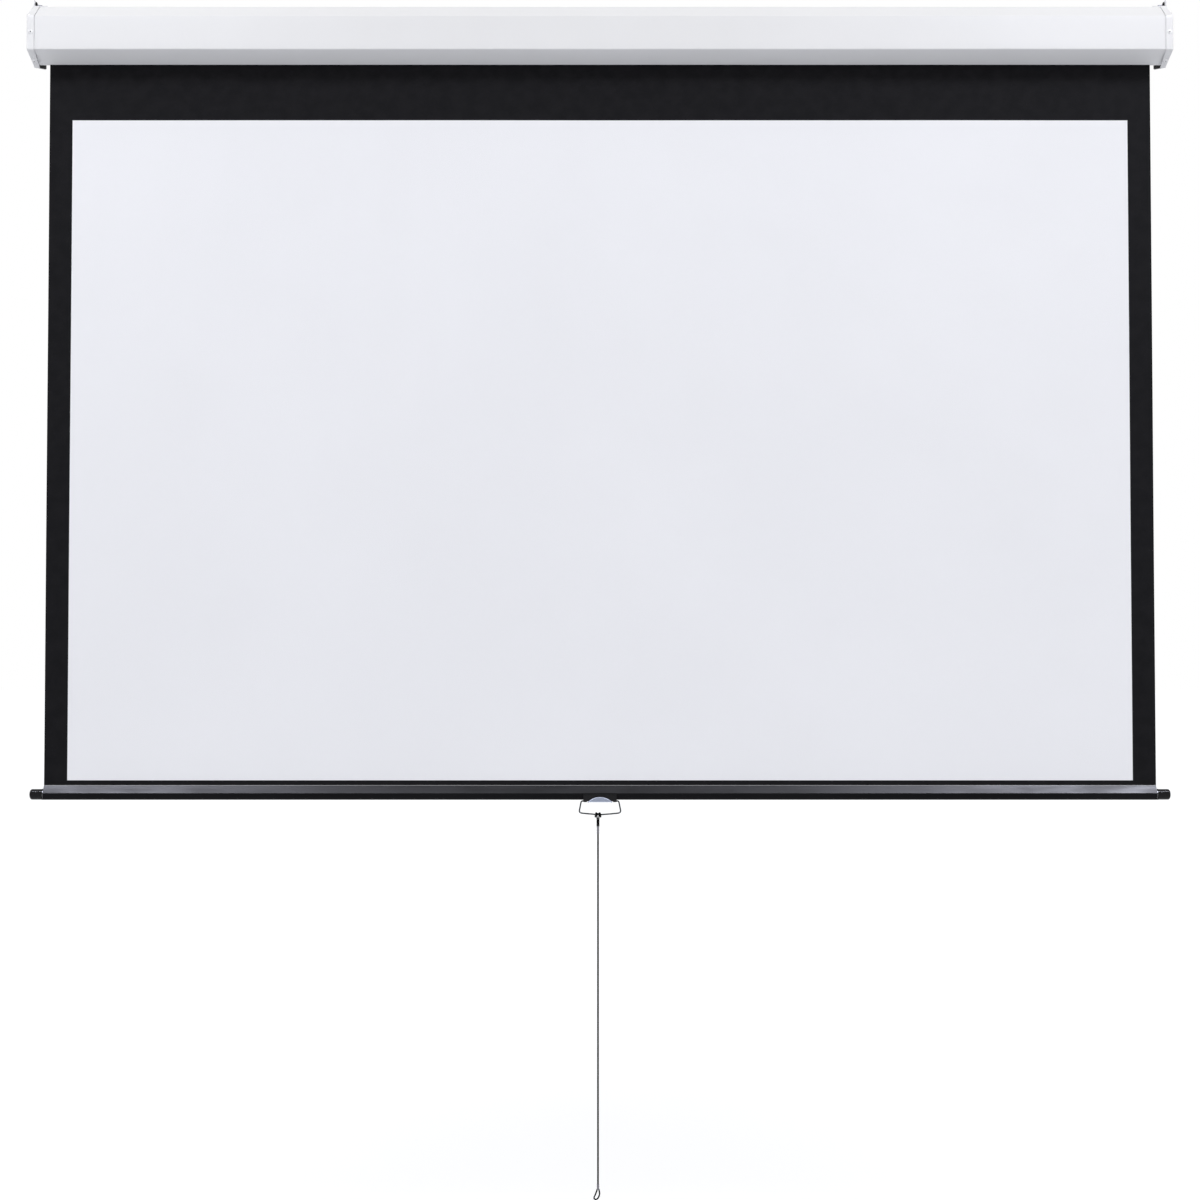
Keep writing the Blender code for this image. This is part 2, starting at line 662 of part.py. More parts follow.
def build_brackets(stuff, root):
    """Steel plates inside the end caps. The left one grips the fixed spear, the right one a nylon bush."""
    axis = (ROLLER_Y, ROLLER_Z)
    plate = rounded(rectangle(axis, BRACKET_HALF_DEPTH, BRACKET_HALF_HEIGHT), BRACKET_CORNER, 4, closed=True)
    slot = rectangle(axis, TONGUE_HALF_DEPTH + TONGUE_PLAY, TONGUE_HALF_HEIGHT + TONGUE_PLAY)
    round_hole = circle(axis, BUSH_SLEEVE_RADIUS + GAP, 24)
    screw_holes = [circle(place, SCREW_HOLE_RADIUS, 16) for _, place in bracket_screw_places()]
    for side, word, middle in ((-1, "left", slot), (1, "right", round_hole)):
        outer_x = side * (CASE_HALF_LENGTH - END_PLATE - GAP)
        inner_x = outer_x - side * BRACKET_THICKNESS
        mesh = prism("roller_bracket", plate, outer_x, inner_x, [middle] + screw_holes)
        put(f"roller_bracket_{word}", mesh, stuff["zinc"], root)

    bush_x = CASE_HALF_LENGTH - END_PLATE - 2 * GAP - BRACKET_THICKNESS
    bore = PIN_RADIUS + GAP
    bush = [(BUSH_SLEEVE, bore), (BUSH_SLEEVE, BUSH_SLEEVE_RADIUS), (-GAP, BUSH_SLEEVE_RADIUS),
            (-GAP, BUSH_FLANGE_RADIUS), (-BUSH_FLANGE, BUSH_FLANGE_RADIUS), (-BUSH_FLANGE, bore)]
    put("idle_bush", turned("idle_bush", bush, (bush_x, ROLLER_Y, ROLLER_Z), 24), stuff["nylon"], root)


def ratchet_outline(first_face):
    """Saw teeth: from each radial face the edge climbs from the root to the full radius."""
    pitch = 2 * math.pi / RATCHET_TEETH
    steps = 8
    out = []
    for tooth in range(RATCHET_TEETH):
        face = first_face + tooth * pitch
        for k in range(steps + 1):
            angle = face + pitch * k / steps
            radius = RATCHET_ROOT + (RATCHET_RADIUS - RATCHET_ROOT) * k / steps
            out.append((ROLLER_Y + radius * math.cos(angle), ROLLER_Z + radius * math.sin(angle)))
    return out


def pawl_angles(tip_radius):
    """The arm's angle at the pivot and the tip's angle at the axis, for a tip at this radius."""
    p, a, t = PAWL_PIVOT_RADIUS, PAWL_LENGTH, tip_radius
    at_pivot = math.acos((p * p + a * a - t * t) / (2 * p * a))
    at_axis = math.acos((p * p + t * t - a * a) / (2 * p * t))
    return at_pivot, at_axis


def pawl_pivot(angle):
    return Vector((ROLLER_Y, ROLLER_Z)) + Vector((math.cos(angle), math.sin(angle))) * PAWL_PIVOT_RADIUS


def pawl_outline(angle):
    """A hub round the pin, an arm that tapers to a round tip, and a short tail, drawn as four arcs."""
    pivot = pawl_pivot(angle)
    to_axis = Vector((-math.cos(angle), -math.sin(angle)))
    at_pivot, _ = pawl_angles(PAWL_REST_TIP_RADIUS)
    arm = Matrix.Rotation(at_pivot, 2) @ to_axis
    beside = Vector((-arm.y, arm.x))
    steps = 5
    out = []
    for middle, radius, start, stop in ((PAWL_LENGTH, PAWL_TIP, -90, 90), (0.0, PAWL_HUB, 90, 150),
                                        (-PAWL_TAIL_LENGTH, PAWL_TAIL, 120, 240), (0.0, PAWL_HUB, 210, 270)):
        for k in range(steps + 1):
            a = math.radians(start + (stop - start) * k / steps)
            out.append(tuple(pivot + arm * (middle + radius * math.cos(a)) + beside * radius * math.sin(a)))
    return out


def build_plugs(stuff, axis):
    """The moulded plugs in the tube's ends: the right one holds the idle pin, the left one the pawls."""
    centre = (0.0, ROLLER_Y, ROLLER_Z)
    half = ROLLER_HALF_LENGTH
    lip_x = half + GAP
    face_x = lip_x + PLUG_FACE
    edge_radius = ROLLER_RADIUS - PLUG_EDGE
    socket = PIN_RADIUS + GAP
    back_x = half - PLUG_DEPTH
    socket_x = half - PIN_SOCKET_DEPTH
    right = [(back_x, 0.0), (back_x, PLUG_RADIUS), (lip_x, PLUG_RADIUS), (lip_x, ROLLER_RADIUS),
             (face_x, edge_radius), (face_x, socket), (socket_x, socket), (socket_x, 0.0)]
    put("roller_plug_right", turned("roller_plug_right", right, centre, 36), stuff["black_plastic"], axis)
    pin_length = CASE_HALF_LENGTH - END_PLATE - 3 * GAP - socket_x
    pin = rod("idle_pin", (socket_x + GAP, ROLLER_Y, ROLLER_Z), (1, 0, 0), pin_length, PIN_RADIUS, 24)
    put("idle_pin", pin, stuff["steel"], axis)

    floor = -half + PAWL_ROOM_DEPTH
    left = [(-lip_x, PAWL_ROOM_RADIUS), (-face_x, PAWL_ROOM_RADIUS), (-face_x, edge_radius),
            (-lip_x, ROLLER_RADIUS), (-lip_x, PLUG_RADIUS), (-back_x, PLUG_RADIUS),
            (-back_x, SHAFT_HOLE_RADIUS), (floor, SHAFT_HOLE_RADIUS), (floor, PAWL_ROOM_RADIUS)]
    plug = put("roller_plug_left", turned("roller_plug_left", left, centre, 36), stuff["black_plastic"], axis)
    pin_holes = []
    for angle in PAWL_ANGLES.values():
        y, z = pawl_pivot(angle)
        start = (floor - GAP, y, z)
        pin_holes.append(rod("pin_hole", start, (1, 0, 0), PAWL_PIN_LENGTH, PAWL_PIN_RADIUS + GAP, 12))
    cut(plug, cutter("pawl_pin_holes", joined("pawl_pin_holes", pin_holes)))


def build_pawls(stuff, root, axis, pawl_axes):
    """Two pawls on pins in the left plug, and the ratchet wheel between them on the fixed spear."""
    start_x = -ROLLER_HALF_LENGTH + PAWL_ROOM_DEPTH - GAP - PAWL_THICKNESS
    end_x = start_x + PAWL_THICKNESS
    for word, angle in PAWL_ANGLES.items():
        y, z = pawl_pivot(angle)
        pin = [(-PAWL_PIN_HEAD, 0), (-PAWL_PIN_HEAD, PAWL_PIN_HEAD_RADIUS), (0, PAWL_PIN_HEAD_RADIUS),
               (0, PAWL_PIN_RADIUS), (PAWL_PIN_LENGTH, PAWL_PIN_RADIUS), (PAWL_PIN_LENGTH, 0)]
        put(f"pawl_pin_{word}", turned("pawl_pin", pin, (start_x - GAP, y, z), 12), stuff["steel"], axis)
        bore = circle((y, z), PAWL_PIN_RADIUS + GAP, 12)
        pawl = prism("pawl", pawl_outline(angle), start_x, end_x, [bore])
        put(f"pawl_{word}", pawl, stuff["steel"], pawl_axes[word])

    # The locked tip stands just behind a radial face of the ratchet.
    _, tip_angle = pawl_angles(PAWL_LOCKED_TIP_RADIUS)
    face = PAWL_FIRST_ANGLE - tip_angle - math.asin((PAWL_TIP + GAP) / PAWL_LOCKED_TIP_RADIUS)
    bore = circle((ROLLER_Y, ROLLER_Z), SPEAR_RADIUS + GAP, 20)
    ratchet = prism("ratchet_wheel", ratchet_outline(face), start_x, end_x, [bore])
    put("ratchet_wheel", ratchet, stuff["steel"], root)


def build_spring(stuff, root, axis):
    """The spear, hub, mandrel and torsion spring stay still; the anchor at the spring's far end turns."""
    shaft_start = -ROLLER_HALF_LENGTH - SPEAR_OVERHANG
    shaft_end = -ROLLER_HALF_LENGTH + SPEAR_REACH
    start = (shaft_start, ROLLER_Y, ROLLER_Z)
    shaft = rod("spring_spear", start, (1, 0, 0), shaft_end - shaft_start, SPEAR_RADIUS, 20)
    spear = put("spring_spear", shaft, stuff["zinc"], root)
    tongue = rectangle((ROLLER_Y, ROLLER_Z), TONGUE_HALF_DEPTH, TONGUE_HALF_HEIGHT)
    tongue_end = -(CASE_HALF_LENGTH - END_PLATE - 2 * GAP)
    tongue_mesh = prism("spear_tongue", tongue, tongue_end, shaft_start + CUT_REACH)
    cut(spear, cutter("spear_tongue", tongue_mesh), "UNION")

    hub_start = shaft_end - SPRING_HUB_INSET
    hub_end = hub_start + SPRING_HUB_LENGTH
    hub = sleeve("spring_hub", hub_start, hub_end, SPEAR_RADIUS + GAP, SPRING_HUB_RADIUS, 24)
    put("spring_hub", hub, stuff["nylon"], root)
    start = (shaft_end + GAP, ROLLER_Y, ROLLER_Z)
    mandrel = rod("spring_mandrel", start, (1, 0, 0), MANDREL_END - start[0], MANDREL_RADIUS, 20)
    put("spring_mandrel", mandrel, stuff["steel"], root)

    coil_start = hub_end + SPRING_CLEARANCE
    points_per_turn = 8
    total = SPRING_TURNS * points_per_turn
    coil = []
    for k in range(total + 1):
        angle = 2 * math.pi * k / points_per_turn
        x = coil_start + (SPRING_END - coil_start) * k / total
        y = ROLLER_Y + SPRING_RADIUS * math.cos(angle)
        z = ROLLER_Z + SPRING_RADIUS * math.sin(angle)
        coil.append((x, y, z))
    put("torsion_spring", tube("torsion_spring", coil, SPRING_WIRE, 0), stuff["steel"], root)
    start_x = SPRING_END + ANCHOR_CLEARANCE
    anchor = sleeve("spring_anchor", start_x, start_x + ANCHOR_LENGTH, MANDREL_RADIUS + GAP, PLUG_RADIUS, 36)
    put("spring_anchor", anchor, stuff["nylon"], axis)


def build_roller(stuff, root, axis, pawl_axes):
    """The spring roller: what turns hangs under the axis empty, what stays still under the root."""
    half = ROLLER_HALF_LENGTH
    wide = SCREEN_WIDTH / 2
    put("roller_tube", sleeve("roller_tube", -half, half, ROLLER_RADIUS - ROLLER_WALL, ROLLER_RADIUS, 36),
        stuff["steel"], axis)
    put("wound_screen", sleeve("wound_screen", -wide, wide, ROLLER_RADIUS + GAP, WOUND_RADIUS, 36),
        stuff["black_cloth"], axis)
    build_plugs(stuff, axis)
    build_pawls(stuff, root, axis, pawl_axes)
    build_spring(stuff, root, axis)


def teardrop(radius, apex, steps=28):
    """A teardrop's round lower part; its straight sides meet at an apex, measured from the bar's centre."""
    reach = math.acos(radius / apex)
    arc = []
    for k in range(steps + 1):
        angle = math.pi / 2 + reach + (2 * math.pi - 2 * reach) * k / steps
        arc.append((BAR_Y + radius * math.cos(angle), BAR_Z + radius * math.sin(angle)))
    return arc


def build_screen(stuff, root, travel):
    """The hanging sheet, the hem pocket that closes round the weight bar, the bar and its two end caps."""
    wide = SCREEN_WIDTH / 2
    front_y = SCREEN_FACE_Y - SCREEN_THICKNESS
    low = HEM_APEX_Z + GAP
    outline = [(front_y, low), (front_y, ROLLER_Z), (SCREEN_FACE_Y, ROLLER_Z), (SCREEN_FACE_Y, low)]
    put("screen_fabric", prism("screen_fabric", outline, -wide, wide), stuff["screen_cloth"], root)

    apex = HEM_APEX_Z - BAR_Z
    seam_half = POCKET_THICKNESS * 0.75
    outer = teardrop(POCKET_RADIUS, apex - POCKET_SHOULDER)
    outer += [(BAR_Y + seam_half, HEM_APEX_Z), (BAR_Y - seam_half, HEM_APEX_Z)]
    inner = teardrop(POCKET_RADIUS - POCKET_THICKNESS, apex - POCKET_SEAM)
    inner.append((BAR_Y, HEM_APEX_Z - POCKET_SEAM - POCKET_THICKNESS))
    pocket = put("hem_pocket", prism("hem_pocket", outer, -wide, wide, [inner]), stuff["black_cloth"], travel)

    bore = BAR_RADIUS - BAR_WALL
    wall = [(-BAR_HALF_LENGTH, bore), (BAR_HALF_LENGTH, bore), (BAR_HALF_LENGTH, BAR_RADIUS),
            (-BAR_HALF_LENGTH, BAR_RADIUS)]
    bar = put("weight_bar", turned("weight_bar", wall, (0, BAR_Y, BAR_Z), 36), stuff["steel"], travel)
    shoulder = BAR_HALF_LENGTH + GAP
    reach = BAR_CAP_END - shoulder
    profile = [(-BAR_CAP_PLUG, 0), (-BAR_CAP_PLUG, bore - GAP), (0, bore - GAP), (0, BAR_CAP_RADIUS - EDGE),
               (EDGE, BAR_CAP_RADIUS)]
    steps = 5
    for k in range(steps + 1):
        a = math.pi / 2 * k / steps
        profile.append((reach - BAR_CAP_NOSE + BAR_CAP_NOSE * math.sin(a),
                        BAR_CAP_RADIUS - BAR_CAP_NOSE * (1 - math.cos(a))))
    profile.append((reach, 0))
    for side, word in ((-1, "left"), (1, "right")):
        cap = turned("bar_cap", profile, (side * shoulder, BAR_Y, BAR_Z), 36, (side, 0, 0))
        put(f"bar_cap_{word}", cap, stuff["black_plastic"], travel)
    return pocket, bar


def mount_section():
    """A cradle round the lower half of the hem pocket, flat in front and below."""
    bore = POCKET_RADIUS + GAP
    front, rear, low, chamfer = MOUNT_FRONT, MOUNT_REAR, MOUNT_DEPTH, MOUNT_CHAMFER
    section = [(-front, MOUNT_RISE), (-front, chamfer - low), (chamfer - front, -low), (rear - chamfer, -low),
               (rear, chamfer - low), (rear, MOUNT_RISE)]
    steps = 16
    lift = math.asin(MOUNT_RISE / bore)
    for k in range(steps + 1):
        angle = lift - (math.pi + 2 * lift) * k / steps
        section.append((bore * math.cos(angle), bore * math.sin(angle)))
    return [(BAR_Y + y, BAR_Z + z) for y, z in section]


def lug_section():
    """A chamfered block under the cradle, round the bail's pivot."""
    wide, low, chamfer = LUG_HALF_DEPTH, LUG_LOW, LUG_CHAMFER
    section = [(-wide, -LUG_ROOT), (-wide, chamfer - low), (chamfer - wide, -low), (wide - chamfer, -low),
               (wide, chamfer - low), (wide, -LUG_ROOT)]
    return [(BAR_Y + y, BAR_Z + z) for y, z in section]


def insert_mesh():
    """A low arch with a foot at each end, drawn in the X-Z plane and thickened along Y."""
    half = INSERT_HALF_WIDTH
    rise = INSERT_TOP - INSERT_LOW
    radius = (half ** 2 + rise ** 2) / (2 * rise)
    spread = math.asin(half / radius)
    steps = 20
    face = []
    for k in range(steps + 1):
        angle = spread - 2 * spread * k / steps
        face.append((radius * math.sin(angle), INSERT_TOP - radius * (1 - math.cos(angle))))
    toe = half - INSERT_FOOT_WIDTH
    heel = toe - GAP
    face += [(-half, INSERT_FOOT_LOW), (-toe, INSERT_FOOT_LOW), (-heel, INSERT_LOW), (heel, INSERT_LOW),
             (toe, INSERT_FOOT_LOW), (half, INSERT_FOOT_LOW)]
    count = len(face)
    points = [(x, BAR_Y - INSERT_FRONT, BAR_Z + z) for x, z in face]
    points += [(x, BAR_Y - MOUNT_FRONT - GAP, BAR_Z + z) for x, z in face]
    faces = [tuple(range(count)), tuple(range(count, 2 * count))]
    faces += [(i, (i + 1) % count, (i + 1) % count + count, i + count) for i in range(count)]
    return mesh_from("mount_insert", points, faces)


def build_mount(stuff, travel, pocket, bar):
    """The handle's mount: a cradle with a lug at each end for the bail, and a domed insert on its front."""
    half = MOUNT_HALF_WIDTH
    cradle = prism("handle_mount", mount_section(), -half, half)
    mount = put("handle_mount", cradle, stuff["black_plastic"], travel)
    lugs = [prism("lug", lug_section(), side * half, side * (half - LUG_WIDTH)) for side in (-1, 1)]
    cut(mount, cutter("mount_lugs", joined("mount_lugs", lugs)), "UNION")
    bores = [rod("bore", (side * (half + CUT_REACH), BAR_Y, PIVOT_Z), (-side, 0, 0), LUG_WIDTH + 2 * CUT_REACH,
                 BAIL_WIRE_RADIUS + GAP) for side in (-1, 1)]
    cut(mount, cutter("bail_bores", joined("bail_bores", bores)))

    hole_start = BAR_Z - MOUNT_DEPTH - CUT_REACH
    screw_holes = [rod("hole", (side * MOUNT_SCREW_X, BAR_Y, hole_start), (0, 0, 1),
                       CUT_REACH + MOUNT_SCREW_HOLE_DEPTH, MOUNT_SCREW_HOLE_RADIUS, 12) for side in (-1, 1)]
    holes = cutter("mount_screw_holes", joined("mount_screw_holes", screw_holes))
    for thing in (mount, pocket, bar):
        cut(thing, holes)
    for side, word in ((-1, "left"), (1, "right")):
        mesh = screw_mesh("mount_screw", (side * MOUNT_SCREW_X, BAR_Y, BAR_Z - MOUNT_DEPTH - GAP), (0, 0, -1),
                          MOUNT_SCREW_HEAD_RADIUS, MOUNT_SCREW_RADIUS, MOUNT_SCREW_LENGTH)
        put(f"mount_screw_{word}", mesh, stuff["zinc"], travel)
    put("mount_insert", insert_mesh(), stuff["grey_plastic"], travel)


def build_bail(stuff, swing):
    """The wire runs from a pivot in the mount down to the cord's place, and back the same way."""
    half = [(0.0290, PIVOT_Z), (0.0330, PIVOT_Z), (0.0374, PIVOT_Z), (0.0402, PIVOT_Z - 0.0010),
            (0.0418, PIVOT_Z - 0.0040), (0.0434, -1.7120), (0.0450, -1.7200), (0.0446, -1.7238),
            (0.0410, -1.7262), (0.0300, -1.7275), (0.0150, -1.7288)]
    whole = [(-x, z) for x, z in half] + [(CORD_X, BAIL_LOW_Z)] + half[::-1]
    route = smooth_path([(x, BAR_Y, z) for x, z in whole], 0.0040)
    put("wire_bail", tube("wire_bail", route, BAIL_WIRE_RADIUS, 2), stuff["chrome"], swing)


def hitch_route():
    """The doubled cord hitched over the wire: up in front of it, over, down behind, forward under it on the
    outside, and across in front at the wire's height. Below the knot the left strand lies in front of the
    right one."""
    z0 = BAIL_LOW_Z
    half = [(-0.00155, 0.0, UPPER_FERRULE_TOP + GAP - z0), (-0.00155, 0.0, -0.0205), (-0.00155, 0.0, -0.0160),
            (-0.00158, -0.0004, -0.0120), (-0.00172, -0.0016, -0.0085), (-0.00200, -0.0031, -0.0052),
            (-0.00265, -0.0038, -0.0015), (-0.00285, -0.0033, 0.0019), (-0.00340, -0.0014, 0.0037),
            (-0.00420, 0.0012, 0.0037), (-0.00490, 0.0034, 0.0017), (-0.00540, 0.0037, -0.0014),
            (-0.00570, 0.0020, -0.0039), (-0.00580, -0.0010, -0.0046), (-0.00580, -0.0038, -0.0036),
            (-0.00560, -0.0058, -0.0014), (-0.00470, -0.0068, 0.0012), (-0.00280, -0.0069, 0.0026)]
    middle = [(0.0, -0.0069, 0.0030)]
    whole = half + middle + [(-x, y, z) for x, y, z in half[::-1]]
    route = []
    for x, y, z in whole:
        share = min(max((HITCH_KNOT_LOW - z) / HITCH_KNOT_FADE, 0.0), 1.0)
        route.append((CORD_X + x, BAR_Y + y + math.copysign(HITCH_STAGGER * share, x), z0 + z))
    return route


def end_loop_route():
    """A teardrop that leans to the left under the lower ferrule."""
    places = [(-0.00175, 0.0), (-0.0031, -0.0048), (-0.0060, -0.0120), (-0.0084, -0.0174), (-0.0079, -0.0208),
              (-0.0049, -0.0222), (-0.0012, -0.0204), (0.0016, -0.0164), (0.0034, -0.0105), (0.0030, -0.0048),
              (0.00175, 0.0)]
    return [(CORD_X + x, BAR_Y, LOWER_FERRULE_BOTTOM - GAP + z) for x, z in places]


def least_gap(path, radius):
    """The least gap between stretches of one tube that are more than four radii apart along it."""
    run = [0.0]
    for a, b in zip(path, path[1:]):
        run.append(run[-1] + (b - a).length)
    least = math.inf
    for i, a in enumerate(path):
        for j in range(i + 1, len(path)):
            if run[j] - run[i] > 4 * radius + 0.002:
                least = min(least, (path[j] - a).length - 2 * radius)
    return least


def build_cord(stuff, swing):
    """The cord is a hitch, a straight pull and an end loop, with a ferrule at each joint."""
    hitch = smooth_path(hitch_route(), 0.0024)
    put("cord_hitch", tube("cord_hitch", hitch, CORD_RADIUS, 1), stuff["cord"], swing)
    straight = [(CORD_X, BAR_Y, UPPER_FERRULE_BOTTOM - GAP), (CORD_X, BAR_Y, LOWER_FERRULE_TOP + GAP)]
    put("pull_cord", tube("pull_cord", smooth_path(straight, 0.0100), PULL_CORD_RADIUS, 2), stuff["cord"], swing)
    loop = smooth_path(end_loop_route(), 0.0022)
    put("cord_end_loop", tube("cord_end_loop", loop, CORD_RADIUS, 1), stuff["cord"], swing)
    print("least gap of the hitch to itself, mm:", round(1000 * least_gap(hitch, CORD_RADIUS), 2))
    print("least gap of the end loop to itself, mm:", round(1000 * least_gap(loop, CORD_RADIUS), 2))
    for word, top, bottom in (("upper", UPPER_FERRULE_TOP, UPPER_FERRULE_BOTTOM),
                              ("lower", LOWER_FERRULE_TOP, LOWER_FERRULE_BOTTOM)):
        length = top - bottom
        profile = [(0, 0), (0, FERRULE_RADIUS - EDGE), (EDGE, FERRULE_RADIUS), (length - EDGE, FERRULE_RADIUS),
                   (length, FERRULE_RADIUS - EDGE), (length, 0)]
        sleeve_mesh = turned("cord_ferrule", profile, (CORD_X, BAR_Y, bottom), 16, (0, 0, 1))
        put(f"cord_ferrule_{word}", sleeve_mesh, stuff["zinc"], swing)


def main():
    for thing in list(bpy.data.objects):
        bpy.data.objects.remove(thing)
    stuff = make_materials()
    root = empty("case_origin", (0, 0, 0))
    roller_axis = empty("roller_axis", (0, ROLLER_Y, ROLLER_Z), root)
    travel = empty("bar_centre", (0, BAR_Y, BAR_Z), root)
    bail_axis = empty("bail_axis", (0, BAR_Y, PIVOT_Z), travel)
    cord_axis = empty("cord_axis", (CORD_X, BAR_Y, BAIL_LOW_Z), bail_axis)
    pawl_x = -ROLLER_HALF_LENGTH + PAWL_ROOM_DEPTH - GAP - PAWL_THICKNESS / 2
    pawl_axes = {}
    for word, angle in PAWL_ANGLES.items():
        y, z = pawl_pivot(angle)
        pawl_axes[word] = empty(f"pawl_axis_{word}", (pawl_x, y, z), roller_axis)

    holes = {-1: end_holes(-1), 1: end_holes(1)}
    build_case(stuff["white_paint"], root, holes)
    for side, word in ((-1, "left"), (1, "right")):
        build_cap(side, word, stuff, root, holes[side])
        build_ear(side, word, stuff, root)
        build_seal(side, word, stuff, root)
    build_brackets(stuff, root)
    build_roller(stuff, root, roller_axis, pawl_axes)
    pocket, bar = build_screen(stuff, root, travel)
    build_mount(stuff, travel, pocket, bar)
    build_bail(stuff, bail_axis)
    build_cord(stuff, cord_axis)


main()
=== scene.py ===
"""The looks of the pull-down projector screen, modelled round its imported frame.

Units are metres, in the frame's own axes: X along the case, the screen faces -Y, Z up, the wall at y = 0.
A surface is a grid of points worked out with numpy. Grids that share a border are welded into one closed
mesh. A line is points (y, z) of a section, and a profile is points (distance along an axis, radius).
"""

import math
from collections import namedtuple

import bmesh
import bpy
import numpy as np
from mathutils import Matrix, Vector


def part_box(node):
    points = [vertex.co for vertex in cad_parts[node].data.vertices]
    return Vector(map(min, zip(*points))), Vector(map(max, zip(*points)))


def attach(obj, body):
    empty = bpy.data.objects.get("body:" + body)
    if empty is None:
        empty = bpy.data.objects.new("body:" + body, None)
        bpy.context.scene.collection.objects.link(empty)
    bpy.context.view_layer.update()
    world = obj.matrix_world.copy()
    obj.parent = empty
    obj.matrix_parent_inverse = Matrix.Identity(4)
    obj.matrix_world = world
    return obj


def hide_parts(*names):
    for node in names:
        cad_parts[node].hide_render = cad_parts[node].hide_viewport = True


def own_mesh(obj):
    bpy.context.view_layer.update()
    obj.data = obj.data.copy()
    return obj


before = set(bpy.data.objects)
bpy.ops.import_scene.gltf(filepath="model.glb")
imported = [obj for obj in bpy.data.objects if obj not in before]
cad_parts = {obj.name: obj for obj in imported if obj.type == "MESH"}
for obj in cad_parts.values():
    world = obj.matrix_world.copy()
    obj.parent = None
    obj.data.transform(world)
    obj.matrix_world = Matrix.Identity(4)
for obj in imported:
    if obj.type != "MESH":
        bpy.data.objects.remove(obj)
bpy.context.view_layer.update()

# Places read from the frame.
CASE_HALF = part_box("end_cap_right")[1].x
SHELL_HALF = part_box("case_shell")[1].x
SHEET_FRONT, SHEET_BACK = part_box("screen_fabric")[0].y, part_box("screen_fabric")[1].y
SHEET_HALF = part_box("screen_fabric")[1].x
BAR_LOW, BAR_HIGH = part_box("weight_bar")
BAR_Y, BAR_Z = (BAR_LOW.y + BAR_HIGH.y) / 2, (BAR_LOW.z + BAR_HIGH.z) / 2
BAR_HALF = BAR_HIGH.x
HEM_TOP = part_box("hem_pocket")[1].z
ROLLER_LOW, ROLLER_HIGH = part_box("roller_tube")
ROLLER_Y, ROLLER_Z = (ROLLER_LOW.y + ROLLER_HIGH.y) / 2, (ROLLER_LOW.z + ROLLER_HIGH.z) / 2
ROLLER_RADIUS = ROLLER_HIGH.z - ROLLER_Z
WOUND_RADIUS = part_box("wound_screen")[1].z - ROLLER_Z

# The case's folded section: corners (y, z) of its outer surface, from the front lip round to the rear one.
STEEL = 0.0012
BEND = 0.0022
GAP = 0.0003
CASE_CORNERS = np.array([
    (-0.0774, -0.0690), (-0.0780, -0.0748), (-0.1360, -0.0577), (-0.1360, 0.0152), (-0.0960, 0.0495),
    (0.0, 0.0495), (0.0, -0.0495), (-0.0580, -0.0683), (-0.0586, -0.0625),
])
FRONT_LOW, FRONT_HIGH = CASE_CORNERS[2], CASE_CORNERS[3]

# End caps: corners under the flange, from its low end over the front to the back of the top. The case steps
# in under the flanges, from a groove's width before their edge.
CAP_CORNERS = np.array([
    (-0.0794, -0.0797), (-0.1360, -0.0577), (-0.1360, 0.0172), (-0.0960, 0.0495), (0.0, 0.0495),
])
CAP_BACK_LOW = -0.0595
FLANGE = 0.0013
FLANGE_WIDTH = 0.0162
FLANGE_END_WIDTH = 0.0120
CAP_BEND = 0.0024
SEAM_GROOVE = 0.0005
SEAM_STEP = 0.0010

# Seal strips inside the end plates.
SEAL_REVEAL = 0.0012
SEAL_FRONT_TOP = -0.0738

# Screws, seated on the end caps. The cross recess is given for a head of SCREW_HEAD's radius.
SCREW_INSET = 0.0090
LOWER_SCREW_INSET = 0.0070
SCREW_LENGTH = 0.0058
LOWER_SCREW_LENGTH = 0.0098
PLATE_SCREW_LENGTH = 0.0100
SCREW_HEAD = 0.0048
SCREW_SHANK = 0.0020
FRONT_SCREW_Z = -0.0200
TOP_SCREW_Y = -0.0230
LOWER_SCREW_SHARE = 0.60
PLATE_SCREW_RISE = 0.0300
DOME_RISE = 0.48
DOME_POWER = 2.1
RECESS_ARM = 0.00052
RECESS_REACH = 0.00185
RECESS_WALL = 0.00025
RECESS_DEPTH = 0.62

# The screws that hold the handle's mount to the bar, seen from below.
MOUNT_SCREW_Z = BAR_Z - 0.0149
MOUNT_SCREW_HEAD = 0.0034
MOUNT_SCREW_SHANK = 0.0017
MOUNT_SCREW_LENGTH = 0.0062

# The sheet hangs from z = 0, the height of the roller's axis. The rest of the cut is on the roller and in
# the hem. CLOTH is its thickness on the roller, and the white area's edges are given on the hanging sheet.
SHEET_LENGTH = -HEM_TOP
CLOTH = 0.00046
WHITE_HALF = 1.1684
WHITE_TOP = -0.1960
WHITE_LOW = -1.6547
PRINT_EDGE = 0.0004

# The hem: its wall, the radius of its turn round the bar, and where its glossy face ends below; under that a
# darker copy of the same vinyl paints shade.
HEM_WALL = 0.0006
HEM_RADIUS = 0.0119
HEM_GLOSS_LOW = 0.0026

# Cord and bail. Below the knot each of the hitch's two strands stands HITCH_STAGGER from the middle, one in
# front and one behind. The step begins at HITCH_KNOT_LOW and is whole after HITCH_KNOT_FADE.
CORD_RADIUS = 0.0017
PULL_CORD_RADIUS = 0.0020
HITCH_STAGGER = 0.0009
HITCH_KNOT_LOW = -0.0052
HITCH_KNOT_FADE = 0.0068
BRAID_PITCH = 0.0048
WIRE_RADIUS = 0.0016
PIVOT_Z = BAR_Z - 0.0144
BAIL_LOW_Z = -1.7300
UPPER_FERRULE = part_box("cord_ferrule_upper")
LOWER_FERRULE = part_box("cord_ferrule_lower")
CORD_X = (UPPER_FERRULE[0].x + UPPER_FERRULE[1].x) / 2

